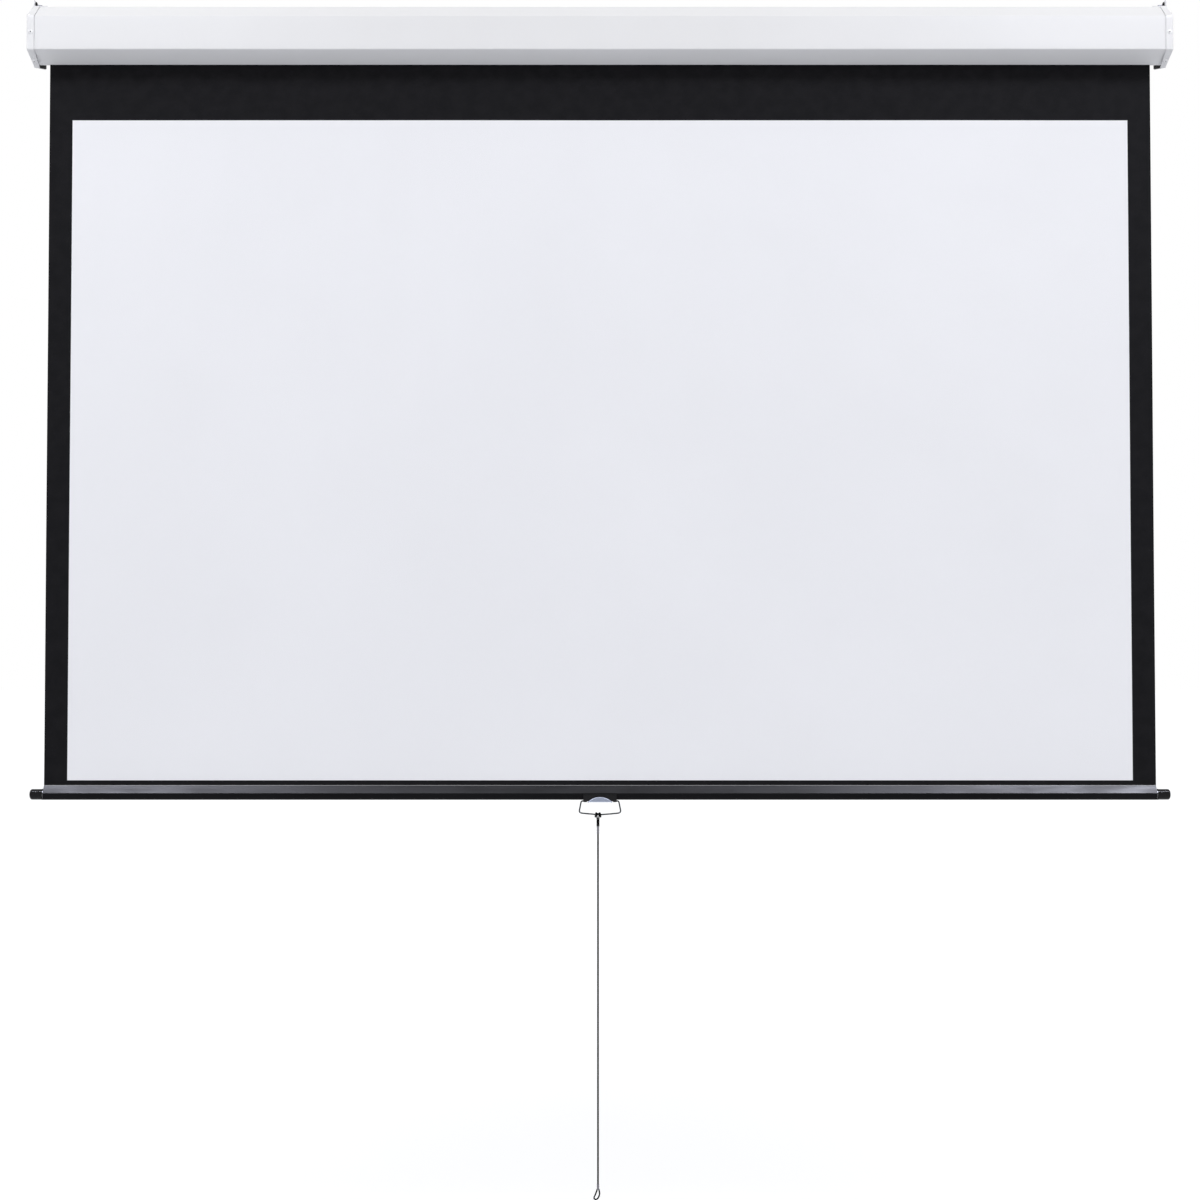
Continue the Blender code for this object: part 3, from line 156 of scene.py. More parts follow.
# Studio. The sky's positions run from straight down, 0, to straight up, 1. The softboxes light what is matt,
# and the strips show only in reflections.
SKY_POSITIONS = (0.0, 0.47, 0.53, 1.0)
SKY_COLOURS = ((0.50, 0.52, 0.55), (0.55, 0.56, 0.58), (1.15, 1.15, 1.16), (0.70, 0.70, 0.70))
FLOOR_Z = -2.75
FLOOR_HALF = 60.0
FLOOR_COLOUR = (0.78, 0.79, 0.81)
FLOOR_GLOW = 0.38
FLOOR_GLOW_COLOUR = (1.0, 0.995, 0.98)
SOFTBOX_PLACE = (1.80, -1.68, 1.15)
SOFTBOX_AIM = (0.9, -0.07, -1.3)
SOFTBOX_SIZE = (1.3, 0.13)
SOFTBOX_RADIANCE = 22.5
STRIP_PLACE = (1.78, -1.55, 1.15)
STRIP_AIM = (0.98, BAR_Y, BAR_Z)
STRIP_SIZE = (1.5, 0.13)
STRIP_RADIANCE = {"left": 165.0, "right": 262.0}
STRIP_COLOUR = (0.84, 0.86, 1.0)
CAMERA_PLACE = (0.0, -4.072, -1.3719)
CAMERA_PITCH = math.radians(91.615)
CAMERA_LENS = 54.58
SENSOR_WIDTH = 36.0

# How finely the surfaces are cut: the longest run of a section or of a path, and counts of points and sides.
CASE_RUN = 0.012
CAP_RUN = 0.008
HEM_RUN = 0.0012
SLEEVE_RUN = 0.0003
WIRE_RUN = 0.0010
CORD_RUN = 0.0004
PULL_CORD_RUN = 0.00045
ALONG_CASE = 101
ALONG_SHEET = 161
DOWN_SHEET = 121
ROD_SIDES = 24
WELD_DISTANCE = 2e-6

SIDES = ((-1, "left"), (1, "right"))

# Noise runs from 0 to 1 and mostly stays between these two values.
NOISE_LOW, NOISE_HIGH = 0.3, 0.7

# A surface's points, its quads, each point's place on the flat map, and each quad's material number.
Shape = namedtuple("Shape", "points quads flat coat")


def unit(v):
    """The vectors v, each divided by its own length."""
    return v / np.linalg.norm(v, axis=-1, keepdims=True)


def ease(x):
    """Smooth step: 0 below 0, 1 above 1, and 3x squared minus 2x cubed between."""
    x = np.clip(x, 0.0, 1.0)
    return x * x * (3.0 - 2.0 * x)


def grid(points, flat=None, coat=0):
    """Quads between neighbouring rows and columns of points. flat is each point's place on the unrolled
    surface in metres, and coat the number of the material."""
    rows, columns = points.shape[:2]
    corner = (np.arange(rows - 1)[:, None] * columns + np.arange(columns - 1)).ravel()
    quads = np.stack([corner, corner + 1, corner + columns + 1, corner + columns], axis=1)
    if flat is None:
        flat = np.zeros((rows, columns, 2))
    return Shape(points.reshape(-1, 3), quads, flat.reshape(-1, 2), np.full(len(quads), coat))


def together(*shapes):
    """Several shapes as one, their corner numbers moved on by the points before them."""
    starts = np.cumsum([0] + [len(s.points) for s in shapes[:-1]])
    return Shape(
        np.concatenate([s.points for s in shapes]),
        np.concatenate([s.quads + start for s, start in zip(shapes, starts)]),
        np.concatenate([s.flat for s in shapes]),
        np.concatenate([s.coat for s in shapes]),
    )


def walled(front, back, flat=None, coats=(0, 0, 0)):
    """A wall between two grids of one size: its two faces, and strips that join their four borders."""
    rims = [(front[0], back[0]), (front[-1], back[-1])]
    rims += [(front[:, 0], back[:, 0]), (front[:, -1], back[:, -1])]
    strips = [grid(np.stack(pair), coat=coats[2]) for pair in rims]
    return together(grid(front, flat, coats[0]), grid(back, flat, coats[1]), *strips)


def capped(points, flat=None):
    """A tube of rings closed at both ends: a row is added at each end, with every point at the middle of the
    ring."""
    first = np.broadcast_to(points[0, :-1].mean(0), points[0].shape)[None]
    last = np.broadcast_to(points[-1, :-1].mean(0), points[-1].shape)[None]
    if flat is not None:
        flat = np.concatenate([flat[:1], flat, flat[-1:]])
    return grid(np.concatenate([first, points, last]), flat)


def round_corners(corners, radius, steps=8):
    """An open line whose inner corners become arcs: each arc's centre lies on the corner's bisector at
    radius / sin(half the angle), and its points turn evenly from one side to the next."""
    corners = np.asarray(corners, float)
    radii = np.broadcast_to(radius, len(corners) - 2)
    line = [corners[:1]]
    for before, corner, after, r in zip(corners, corners[1:], corners[2:], radii):
        back, ahead = unit(before - corner), unit(after - corner)
        half = math.acos(np.clip(back @ ahead, -1.0, 1.0)) / 2
        centre = corner + unit(back + ahead) * r / math.sin(half)
        start = corner + back * r / math.tan(half) - centre
        end = corner + ahead * r / math.tan(half) - centre
        first = math.atan2(start[1], start[0])
        turn = (math.atan2(end[1], end[0]) - first + math.pi) % (2 * math.pi) - math.pi
        angles = first + turn * np.linspace(0, 1, steps + 1)
        line.append(centre + r * np.stack([np.cos(angles), np.sin(angles)], axis=1))
    line.append(corners[-1:])
    return np.concatenate(line)


def round_outline(corners, radius, steps=8):
    """A closed outline with round corners, which starts and ends in the middle of its last side."""
    corners = np.asarray(corners, float)
    middle = (corners[:1] + corners[-1:]) / 2
    return round_corners(np.concatenate([middle, corners, middle]), radius, steps)


def quarter_turn(v):
    """Vectors (y, z) turned by a quarter."""
    return np.stack([-v[:, 1], v[:, 0]], axis=1)


def line_normals(line):
    """The unit normals of a line, a quarter turn from its direction."""
    return quarter_turn(unit(np.gradient(line, axis=0)))


def offset_corners(corners, distance):
    """Corners moved outwards: each moved corner lies where its two moved sides meet."""
    normals = quarter_turn(unit(np.diff(corners, axis=0)))
    before = np.concatenate([normals[:1], normals])
    after = np.concatenate([normals, normals[-1:]])
    middle = unit(before + after)
    return corners + middle * distance / (middle * after).sum(1, keepdims=True)


def cut_runs(runs, step):
    """Cuts each run evenly into stretches about one step long, and gives for every stretch's start the
    number of its run and its share of the way along it."""
    counts = np.maximum(1, np.round(runs / step)).astype(int)
    at = np.repeat(np.arange(len(runs)), counts)
    share = (np.arange(len(at)) - np.repeat(np.cumsum(counts) - counts, counts)) / np.repeat(counts, counts)
    return at, share[:, None]


def split_runs(lines, step):
    """Lines with equally many points, each split where the first one's runs are longer than the step."""
    at, share = cut_runs(np.linalg.norm(np.diff(lines[0], axis=0), axis=1), step)
    split = [line[at] + (line[at + 1] - line[at]) * share for line in lines]
    return [np.concatenate([part, line[-1:]]) for part, line in zip(split, lines)]


def smooth_path(route, step):
    """Points about one step apart on a Catmull-Rom curve through the route: the uniform cubic in t on each
    stretch, worked out for every point at once."""
    knots = np.asarray(route, float)
    ends = np.concatenate([[2 * knots[0] - knots[1]], knots, [2 * knots[-1] - knots[-2]]])
    at, t = cut_runs(np.linalg.norm(np.diff(knots, axis=0), axis=1), step)
    a, b, c, d = ends[at], ends[at + 1], ends[at + 2], ends[at + 3]
    curve = 0.5 * (2 * b + (c - a) * t + (2 * a - 5 * b + 4 * c - d) * t**2 + (3 * b - a - 3 * c + d) * t**3)
    return np.concatenate([curve, knots[-1:]])


def path_runs(path):
    """Distance along a path at each of its points."""
    return np.concatenate([[0.0], np.cumsum(np.linalg.norm(np.diff(path, axis=0), axis=1))])


def swept(line, xs):
    """A line drawn out along X: one row at each x."""
    rows = np.empty((len(xs), len(line), 3))
    rows[..., 0] = np.asarray(xs)[:, None]
    rows[..., 1:] = line
    return rows


def block(outline, x0, x1, edge, steps=5):
    """A closed outline drawn out along X, its two ends drawn in over a quarter circle of radius edge."""
    angles = np.linspace(0, math.pi / 2, steps + 1)
    inset = edge * (1 - np.sin(angles))
    advance = edge * (1 - np.cos(angles))
    sign = math.copysign(1.0, x1 - x0)
    xs = np.concatenate([x0 + sign * advance, (x1 - sign * advance)[::-1]])
    insets = np.concatenate([inset, inset[::-1]])
    middle = outline[:-1].mean(0)
    normals = line_normals(np.concatenate([outline[-2:-1], outline, outline[1:2]]))[1:-1]
    normals *= np.sign(((outline - middle) * normals).sum(1, keepdims=True))
    rows = swept(outline, xs)
    rows[..., 1:] = outline - normals * insets[:, None, None]
    return capped(rows)


def axes_about(axis, spin=0.0):
    """An axis, and two unit vectors square to it and to each other, turned by spin about it."""
    axis = unit(np.asarray(axis, float))
    guide = np.array((0.0, 0.0, 1.0)) if abs(axis[2]) < 0.9 else np.array((1.0, 0.0, 0.0))
    across = unit(np.cross(guide, axis))
    other = np.cross(axis, across)
    sine, cosine = math.sin(spin), math.cos(spin)
    return axis, across * cosine + other * sine, other * cosine - across * sine


def ring(angles, across, other):
    """Directions at the angles round an axis: the cosine of one square vector plus the sine of the other."""
    return np.cos(angles)[:, None] * across[..., None, :] + np.sin(angles)[:, None] * other[..., None, :]


def turned(profile, start, axis, sides=48, spin=0.0, shape=None):
    """A profile turned about the axis. shape gives the radius from the distances, radii and angles where it
    isn't round."""
    profile = np.asarray(profile, float)
    axis, across, other = axes_about(axis, spin)
    angles = np.linspace(0, 2 * math.pi, sides + 1)
    distance, radius = profile[:, :1], profile[:, 1:]
    radii = radius * np.ones_like(angles) if shape is None else shape(distance, radius, angles)
    around = ring(angles, across, other)
    return np.asarray(start, float) + distance[..., None] * axis + radii[..., None] * around


def rod_along(path, radius, sides, guide, relief=None):
    """Rings round a path. Each ring lies square to the path, turned so that its first direction is square
    to the guide, which the path never runs along. relief gives the share of the radius from the distance
    along and the share round."""
    along = unit(np.gradient(path, axis=0))
    across = unit(np.cross(along, np.asarray(guide, float)))
    other = np.cross(along, across)
    round_share = np.linspace(0, 1, sides + 1)
    runs = path_runs(path)
    radii = np.full((len(path), sides + 1), radius)
    if relief is not None:
        radii = radius * relief(runs[:, None], round_share[None])
    flat = np.empty((len(path), sides + 1, 2))
    flat[..., 0] = 2 * math.pi * radius * round_share
    flat[..., 1] = runs[:, None]
    return path[:, None] + radii[..., None] * ring(2 * math.pi * round_share, across, other), flat


def show(name, mesh, finishes, body, stands_for=()):
    """Puts a finished mesh on a body, in the place of the CAD nodes that it stands for."""
    piece = bpy.data.objects.new(name, mesh)
    bpy.context.scene.collection.objects.link(piece)
    for finish in finishes:
        mesh.materials.append(finish)
    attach(piece, body)
    if stands_for:
        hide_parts(*stands_for)
    return piece


def weld(mesh):
    """Merges points that coincide, which closes seams and poles, and turns the faces outwards."""
    work = bmesh.new()
    work.from_mesh(mesh)
    bmesh.ops.remove_doubles(work, verts=work.verts, dist=WELD_DISTANCE)
    bmesh.ops.recalc_face_normals(work, faces=work.faces)
    work.to_mesh(mesh)
    work.free()


def make(name, shape, finishes, body, stands_for=(), crease=35.0):
    """A piece from a shape's grids, welded, shaded smooth up to the crease angle, with its flat map."""
    mesh = bpy.data.meshes.new(name)
    mesh.vertices.add(len(shape.points))
    mesh.vertices.foreach_set("co", shape.points.astype(np.float32).ravel())
    mesh.loops.add(shape.quads.size)
    mesh.loops.foreach_set("vertex_index", shape.quads.astype(np.int32).ravel())
    mesh.polygons.add(len(shape.quads))
    mesh.polygons.foreach_set("loop_start", np.arange(0, shape.quads.size, 4, dtype=np.int32))
    mesh.polygons.foreach_set("material_index", shape.coat.astype(np.int32))
    mesh.update(calc_edges=True)
    if shape.flat.any():
        layer = mesh.uv_layers.new(name="unrolled")
        layer.uv.foreach_set("vector", shape.flat[shape.quads.ravel()].astype(np.float32).ravel())
    weld(mesh)
    mesh.shade_smooth()
    mesh.set_sharp_from_angle(angle=math.radians(crease))
    return show(name, mesh, finishes, body, stands_for)


def softened(name, node, width, finishes, body):
    """A copy of a CAD node, its points merged and its flat faces whole, with its edges rounded."""
    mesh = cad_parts[node].data.copy()
    mesh.name = name
    mesh.materials.clear()
    work = bmesh.new()
    work.from_mesh(mesh)
    bmesh.ops.remove_doubles(work, verts=work.verts, dist=1e-5)
    bmesh.ops.dissolve_limit(work, angle_limit=math.radians(1.0), verts=work.verts, edges=work.edges)
    work.to_mesh(mesh)
    work.free()
    mesh.shade_smooth()
    mesh.set_sharp_from_angle(angle=math.radians(35.0))
    piece = show(name, mesh, finishes, body, (node,))
    edge = piece.modifiers.new("rounded_edges", "BEVEL")
    edge.width = width
    edge.segments = 3
    edge.limit_method = "ANGLE"
    edge.angle_limit = math.radians(40.0)
    edge.miter_outer = "MITER_ARC"
    edge.harden_normals = True
    return piece


class Graph:
    """A tree of shader nodes. Each method but feed adds one step to it and gives back its output."""

    def __init__(self, tree):
        self.tree = tree

    def feed(self, socket, value):
        """Gives an input a number, a vector, a colour of three values, or another node's output."""
        if isinstance(value, bpy.types.NodeSocket):
            self.tree.links.new(value, socket)
        else:
            socket.default_value = (*value, 1.0) if socket.type == "RGBA" else value

    def node(self, kind, inputs, **settings):
        """A node with its settings, and then its inputs by name or number."""
        made = self.tree.nodes.new("ShaderNode" + kind)
        for key, value in settings.items():
            setattr(made, key, value)
        for key, value in inputs.items():
            self.feed(made.inputs[key], value)
        return made.outputs

    def maths(self, operation, a, b=0.0, clamp=False):
        """One step of arithmetic on values or numbers."""
        return self.node("Math", {0: a, 1: b}, operation=operation, use_clamp=clamp)[0]

    def parts(self, vector):
        """A vector's parts, under X, Y and Z."""
        return self.node("SeparateXYZ", {0: vector})

    def ramp(self, value, low, high, to_low=0.0, to_high=1.0, kind="SMOOTHSTEP"):
        """A value carried from one range to another, held at its ends."""
        ends = {"From Min": low, "From Max": high, "To Min": to_low, "To Max": to_high}
        return self.node("MapRange", {"Value": value, **ends}, interpolation_type=kind)["Result"]

    def mix(self, share, a, b):
        """Colour a where the share is 0, and b where it is 1."""
        return self.node("Mix", {"Factor": share, "A": a, "B": b}, data_type="RGBA")["Result"]


class Finish(Graph):
    """A material. Sizes and depths are in metres. The keywords that where stands for are those of places."""

    def __init__(self, name, colour, roughness, metallic=0.0, specular=0.5):
        self.material = bpy.data.materials.new(name)
        self.material.use_nodes = True
        super().__init__(self.material.node_tree)
        self.colour = colour
        self.shader = self.tree.nodes["Principled BSDF"].inputs
        self.feed(self.shader["Base Color"], colour)
        self.feed(self.shader["Roughness"], roughness)
        self.feed(self.shader["Metallic"], metallic)
        self.feed(self.shader["Specular IOR Level"], specular)

    def places(self, stretch=(1.0, 1.0, 1.0), flat=False):
        """Object coordinates, or the flat map, times the stretch along each axis."""
        source = self.node("TexCoord", {})["UV" if flat else "Object"]
        return self.node("Mapping", {"Vector": source, "Scale": stretch})["Vector"]

    def tint(self, amount):
        """The finish's own colour made darker or lighter by an amount."""
        return tuple(min(1.0, c * (1.0 + amount)) for c in self.colour)

    def noise(self, size, detail=2.0, **where):
        """Noise whose features are about size across."""
        places = self.places(**where)
        return self.node("TexNoise", {"Vector": places, "Scale": 1.0 / size, "Detail": detail})["Fac"]

    def wander(self, size, low=0.0, high=1.0, detail=2.0, **where):
        """Noise that wanders between two values."""
        return self.ramp(self.noise(size, detail, **where), NOISE_LOW, NOISE_HIGH, low, high)

    def mottle(self, size, amount, **where):
        """Slow change of tone: the colour runs from amount darker to amount lighter over the noise."""
        share = self.wander(size, detail=3.0, **where)
        self.feed(self.shader["Base Color"], self.mix(share, self.tint(-amount), self.tint(amount)))

    def rough(self, size, low, high, **where):
        """Roughness that wanders between two values."""
        self.feed(self.shader["Roughness"], self.wander(size, low, high, **where))

    def bump(self, height, depth, strength):
        """Relief of a depth."""
        relief = self.node("Bump", {"Strength": strength, "Distance": depth, "Height": height})
        self.feed(self.shader["Normal"], relief["Normal"])

    def grain(self, size, depth, strength, detail=2.0, **where):
        """Relief from noise."""
        self.bump(self.noise(size, detail, **where), depth, strength)


def enamel():
    """White stove enamel on sheet steel: a faint orange peel, and a slow change of tone."""
    finish = Finish("white_enamel", (0.768, 0.770, 0.788), 0.42, specular=0.12)
    finish.mottle(0.35, 0.008)
    finish.rough(0.012, 0.38, 0.48)
    finish.grain(0.0014, 0.00004, 0.6)
    return finish.material


def screw_enamel():
    """The screws' brighter, glossier white."""
    finish = Finish("screw_enamel", (0.860, 0.862, 0.880), 0.26, specular=0.35)
    finish.mottle(0.004, 0.010)
    return finish.material


def screw_recess_shade():
    """Near-black in a screw's cross recess: painted shade where the recess's shadow falls."""
    finish = Finish("screw_recess_shade", (0.030, 0.030, 0.034), 0.50, specular=0.3)
    finish.mottle(0.0012, 0.30)
    return finish.material


def print_mask(finish):
    """1 on the printed white area of the sheet's flat map, 0 on the black borders, with a soft printed
    edge."""
    place = finish.parts(finish.places(flat=True))
    side = finish.maths("SUBTRACT", WHITE_HALF, finish.maths("ABSOLUTE", place["X"]))
    top = finish.maths("SUBTRACT", WHITE_TOP, place["Y"])
    low = finish.maths("SUBTRACT", place["Y"], WHITE_LOW)
    nearest = finish.maths("MINIMUM", finish.maths("MINIMUM", side, top), low)
    return finish.ramp(nearest, -PRINT_EDGE, PRINT_EDGE)


def weave_bump(finish, pitch, depth, strength):
    """A plain weave on the flat map: the product of two sines, one thread across and one along."""
    place = finish.parts(finish.places(flat=True))
    phases = [finish.maths("MULTIPLY", place[axis], 2 * math.pi / pitch) for axis in "XY"]
    threads = [finish.maths("SINE", phase) for phase in phases]
    finish.bump(finish.maths("MULTIPLY", *threads), depth, strength)


def screen_front():
    """Matt white projection cloth with printed black borders and a fine plain weave."""
    finish = Finish("screen_front", (0.852, 0.858, 0.900), 0.92, specular=0.06)
    white = finish.mix(finish.wander(0.55, flat=True), finish.tint(-0.010), finish.tint(0.010))
    fleck = finish.wander(0.03, detail=3.0, flat=True)
    black = finish.mix(fleck, (0.0080, 0.0080, 0.0092), (0.0104, 0.0102, 0.0116))
    finish.feed(finish.shader["Base Color"], finish.mix(print_mask(finish), black, white))
    weave_bump(finish, 0.00110, 0.00005, 0.5)
    return finish.material


def screen_rear():
    """The sheet's black coated back."""
    finish = Finish("screen_rear", (0.0075, 0.0075, 0.0085), 0.75, specular=0.10)
    finish.mottle(0.25, 0.12)
    finish.grain(0.0016, 0.00005, 0.5)
    return finish.material


def hem_face():
    """The hem's glossy front face: black vinyl with fine ribs along it, the lighter of two copies of the one
    vinyl.
    """
    finish = Finish("hem_face", (0.008, 0.008, 0.010), 0.32, specular=0.20)
    finish.mottle(0.05, 0.20, stretch=(0.15, 1.0, 1.0))
    finish.rough(0.02, 0.30, 0.40, stretch=(0.2, 1.0, 1.0))
    finish.grain(0.0009, 0.00003, 0.6, 1.0, stretch=(0.05, 1.0, 1.0))
    return finish.material


def hem_shaded_copy():
    """The hem's underside and back: the same black vinyl as the face, made darker and matt as painted shade.
    """
    finish = Finish("hem_shaded_copy", (0.0050, 0.0050, 0.0060), 0.62, specular=0.06)
    finish.mottle(0.05, 0.25, stretch=(0.2, 1.0, 1.0))
    finish.grain(0.0011, 0.00005, 0.6)
    return finish.material


def gloss_black():
    """Glossy moulded black plastic."""
    finish = Finish("gloss_black", (0.0030, 0.0030, 0.0036), 0.11, specular=0.16)
    finish.rough(0.006, 0.09, 0.13)
    finish.grain(0.0030, 0.00002, 0.5)
    return finish.material


def satin_black():
    """Satin black plastic with a fine spark grain."""
    finish = Finish("satin_black", (0.0065, 0.0065, 0.0075), 0.46, specular=0.14)
    finish.mottle(0.004, 0.15)
    finish.grain(0.0004, 0.00003, 0.6)
    return finish.material


def silver_plastic():
    """Pale blue-grey plastic with a fine metal fleck, darker where the flat map's second value is 1, in the
    sunk field: painted shade in the shallow recess."""
    finish = Finish("silver_plastic", (0.500, 0.535, 0.665), 0.30, metallic=0.15)
    sunk = finish.parts(finish.places(flat=True))["Y"]
    # The two darker colours in the sunk field are painted shade.
    pale = finish.mix(sunk, finish.colour, (0.300, 0.338, 0.440))
    darker = finish.mix(sunk, finish.tint(-0.12), (0.268, 0.302, 0.396))
    fleck = finish.wander(0.0008, detail=3.0)
    finish.feed(finish.shader["Base Color"], finish.mix(fleck, darker, pale))
    finish.grain(0.0006, 0.00002, 0.4)
    return finish.material


def rubber():
    """Black moulded rubber, dull and faintly dusty."""
    finish = Finish("black_rubber", (0.012, 0.012, 0.013), 0.78, specular=0.15)
    finish.mottle(0.003, 0.25)
    finish.grain(0.0005, 0.00005, 0.7, 3.0)
    return finish.material


def dark_wire():
    """Drawn steel wire with faint draw lines, its metal colour made very dark as a painted reflection of dark
    surroundings.
    """
    finish = Finish("wire_metal_darkened", (0.054, 0.058, 0.062), 0.24, metallic=1.0)
    finish.rough(0.002, 0.18, 0.32)
    finish.grain(0.0004, 0.00001, 0.5, 1.0)
    return finish.material


def blackened():
    """Blackened bolt steel."""
    finish = Finish("blackened_steel", (0.110, 0.110, 0.125), 0.42, metallic=0.6)
    finish.mottle(0.002, 0.30)
    finish.grain(0.0005, 0.00003, 0.6)
    return finish.material


def crimped_metal():
    """Dull grey crimp sleeve metal."""
    finish = Finish("crimp_sleeve", (0.185, 0.182, 0.205), 0.36, metallic=1.0)
    finish.mottle(0.0015, 0.18)
    finish.grain(0.0004, 0.00002, 0.5)
    return finish.material


def braid():
    """Black braided nylon: yarns that follow the cord's flat map."""
    finish = Finish("black_braid", (0.0045, 0.0045, 0.0050), 0.80, specular=0.03)
    finish.mottle(0.0012, 0.35, flat=True)
    finish.grain(0.00022, 0.00006, 0.8, stretch=(1.0, 0.35, 1.0), flat=True)
    return finish.material


def bright_zinc():
    """Bright zinc plate with soft spangles."""
    finish = Finish("bright_zinc", (0.50, 0.50, 0.51), 0.35, metallic=1.0)
    finish.mottle(0.006, 0.12)
    finish.rough(0.004, 0.28, 0.45)
    return finish.material


def rolled_steel():
    """Bare steel with fine lines along X."""
    finish = Finish("rolled_steel", (0.42, 0.42, 0.44), 0.38, metallic=1.0)
    finish.mottle(0.010, 0.10, stretch=(0.1, 1.0, 1.0))
    finish.grain(0.0006, 0.00002, 0.5, stretch=(0.05, 1.0, 1.0))
    return finish.material


def milky_nylon():
    """Natural nylon, cloudy and slightly waxy."""
    finish = Finish("natural_nylon", (0.68, 0.66, 0.60), 0.45)
    finish.mottle(0.008, 0.05)
    finish.grain(0.0015, 0.00003, 0.5)
    return finish.material


def wavy(x, y, z):
    """Sheet steel is never dead flat: a tenth of a millimetre of long waves along X, in y and in z. They fade
    to none at the wall."""
    share = np.clip(-y / -FRONT_LOW[0], 0, 1)
    y_wave = 0.00012 * share * np.sin(2 * math.pi * x / 0.83 + 20 * z)
    z_wave = 0.00010 * share * np.sin(2 * math.pi * x / 0.61 + 15 * y + 1.0)
    return y_wave, z_wave


def build_case(coat):
    """The folded case: its outer line, and the same line moved in by the steel, drawn out along X. In front
    and on top its ends step in under the caps' flanges, which leaves a groove along each flange's edge. The
    step fades out below the front and towards the wall."""
    fade_low, fade_back, step_run, at_wall = 0.004, 0.012, 0.0001, -0.0005
    outer = round_corners(CASE_CORNERS, BEND)
    inner = round_corners(offset_corners(CASE_CORNERS, -STEEL), BEND - STEEL)
    outer, inner = split_runs([outer, inner], CASE_RUN)
    step_start = CASE_HALF - FLANGE_WIDTH - SEAM_GROOVE
    end = np.array((step_start, step_start + step_run, SHELL_HALF))
    xs = np.concatenate([-end[::-1], np.linspace(-step_start, step_start, ALONG_CASE)[1:-1], end])
    to_wall = np.arange(len(outer)) < np.argmax(outer[:, 0] > at_wall)
    lapped = to_wall * ease((outer[:, 1] - FRONT_LOW[1]) / fade_low) * ease(-outer[:, 0] / fade_back)
    step = SEAM_STEP * (np.abs(xs) > step_start + step_run / 2)[:, None] * lapped
    normals = line_normals(outer)
    faces = [swept(line, xs) for line in (outer, inner)]
    for face in faces:
        y_wave, z_wave = wavy(*np.moveaxis(face, -1, 0))
        face[..., 1:] -= normals * step[..., None]
        face[..., 1] += y_wave
        face[..., 2] += z_wave
    make("case_cover", walled(*faces), [coat], "case", ["case_shell"])


def cup_face(side, offset, floor, bend):
    """One face of an end cap: rows along the flange, which narrows down the lower slope, a quarter turn into
    the end plate, flatter at the flange's low end, and rows straight from there to the back edge at the
    wall. The flange's rim is drawn down onto the case's upper bevel, where it would stand off."""
    flange_rows, turn_rows, plate_rows = 4, 7, 8
    low_turn, low_turn_fade = 0.25, 0.006
    line = round_corners(offset_corners(CAP_CORNERS, offset), BEND + offset, 10)
    line, = split_runs([line], CAP_RUN)
    run = path_runs(line)
    slope = np.clip(run / np.linalg.norm(CAP_CORNERS[1] - CAP_CORNERS[0]), 0, 1)
    rim = CASE_HALF - FLANGE_END_WIDTH - (FLANGE_WIDTH - FLANGE_END_WIDTH) * slope
    shares = np.linspace(0, 1, flange_rows)[:, None]
    angles = np.linspace(0, math.pi / 2, turn_rows + 1)[1:, None]
    depth = bend * (low_turn + (1 - low_turn) * ease(run / low_turn_fade))
    rows = np.empty((flange_rows + turn_rows, len(line), 3))
    rows[:flange_rows, :, 0] = side * (rim + (floor - bend - rim) * shares)
    rows[flange_rows:, :, 0] = side * (floor - bend + bend * np.sin(angles))
    rows[..., 1:] = line
    rows[flange_rows:, :, 1:] -= line_normals(line) * (depth * (1 - np.cos(angles)))[..., None]
    bevel = unit(CASE_CORNERS[4] - FRONT_HIGH)
    stands_off = (line - FRONT_HIGH) @ (-bevel[1], bevel[0]) - offset
    rows[:flange_rows, :, 1:] -= line_normals(line) * (np.clip(stands_off, 0, None) * (1 - shares))[..., None]
    back = np.zeros((len(line), 3))
    back[:, 0] = side * floor
    back[:, 2] = CAP_BACK_LOW + (rows[-1, -1, 2] - CAP_BACK_LOW) * run / run[-1]
    plate = rows[-1] + (back - rows[-1]) * np.linspace(0, 1, plate_rows + 1)[1:, None, None]
    return np.concatenate([rows, plate])


def build_cap(side, word, coat):
    """A flanged cup over the case's end: its outer face, and an inner one as far in as the steel is thick."""
    outside = cup_face(side, GAP + FLANGE, CASE_HALF, CAP_BEND)
    inside = cup_face(side, GAP, CASE_HALF - FLANGE, CAP_BEND - FLANGE)
    make(f"cap_cup_{word}", walled(outside, inside), [coat], "case", [f"end_cap_{word}"])


def cross_recess(a, b):
    """1 in a cross of two slots, 0 outside, with sloping walls."""
    def arm(across, along):
        in_width = ease((RECESS_ARM - np.abs(across)) / RECESS_WALL + 0.5)
        return in_width * ease((RECESS_REACH - np.abs(along)) / RECESS_WALL + 0.5)
    return np.maximum(arm(a, b), arm(b, a))


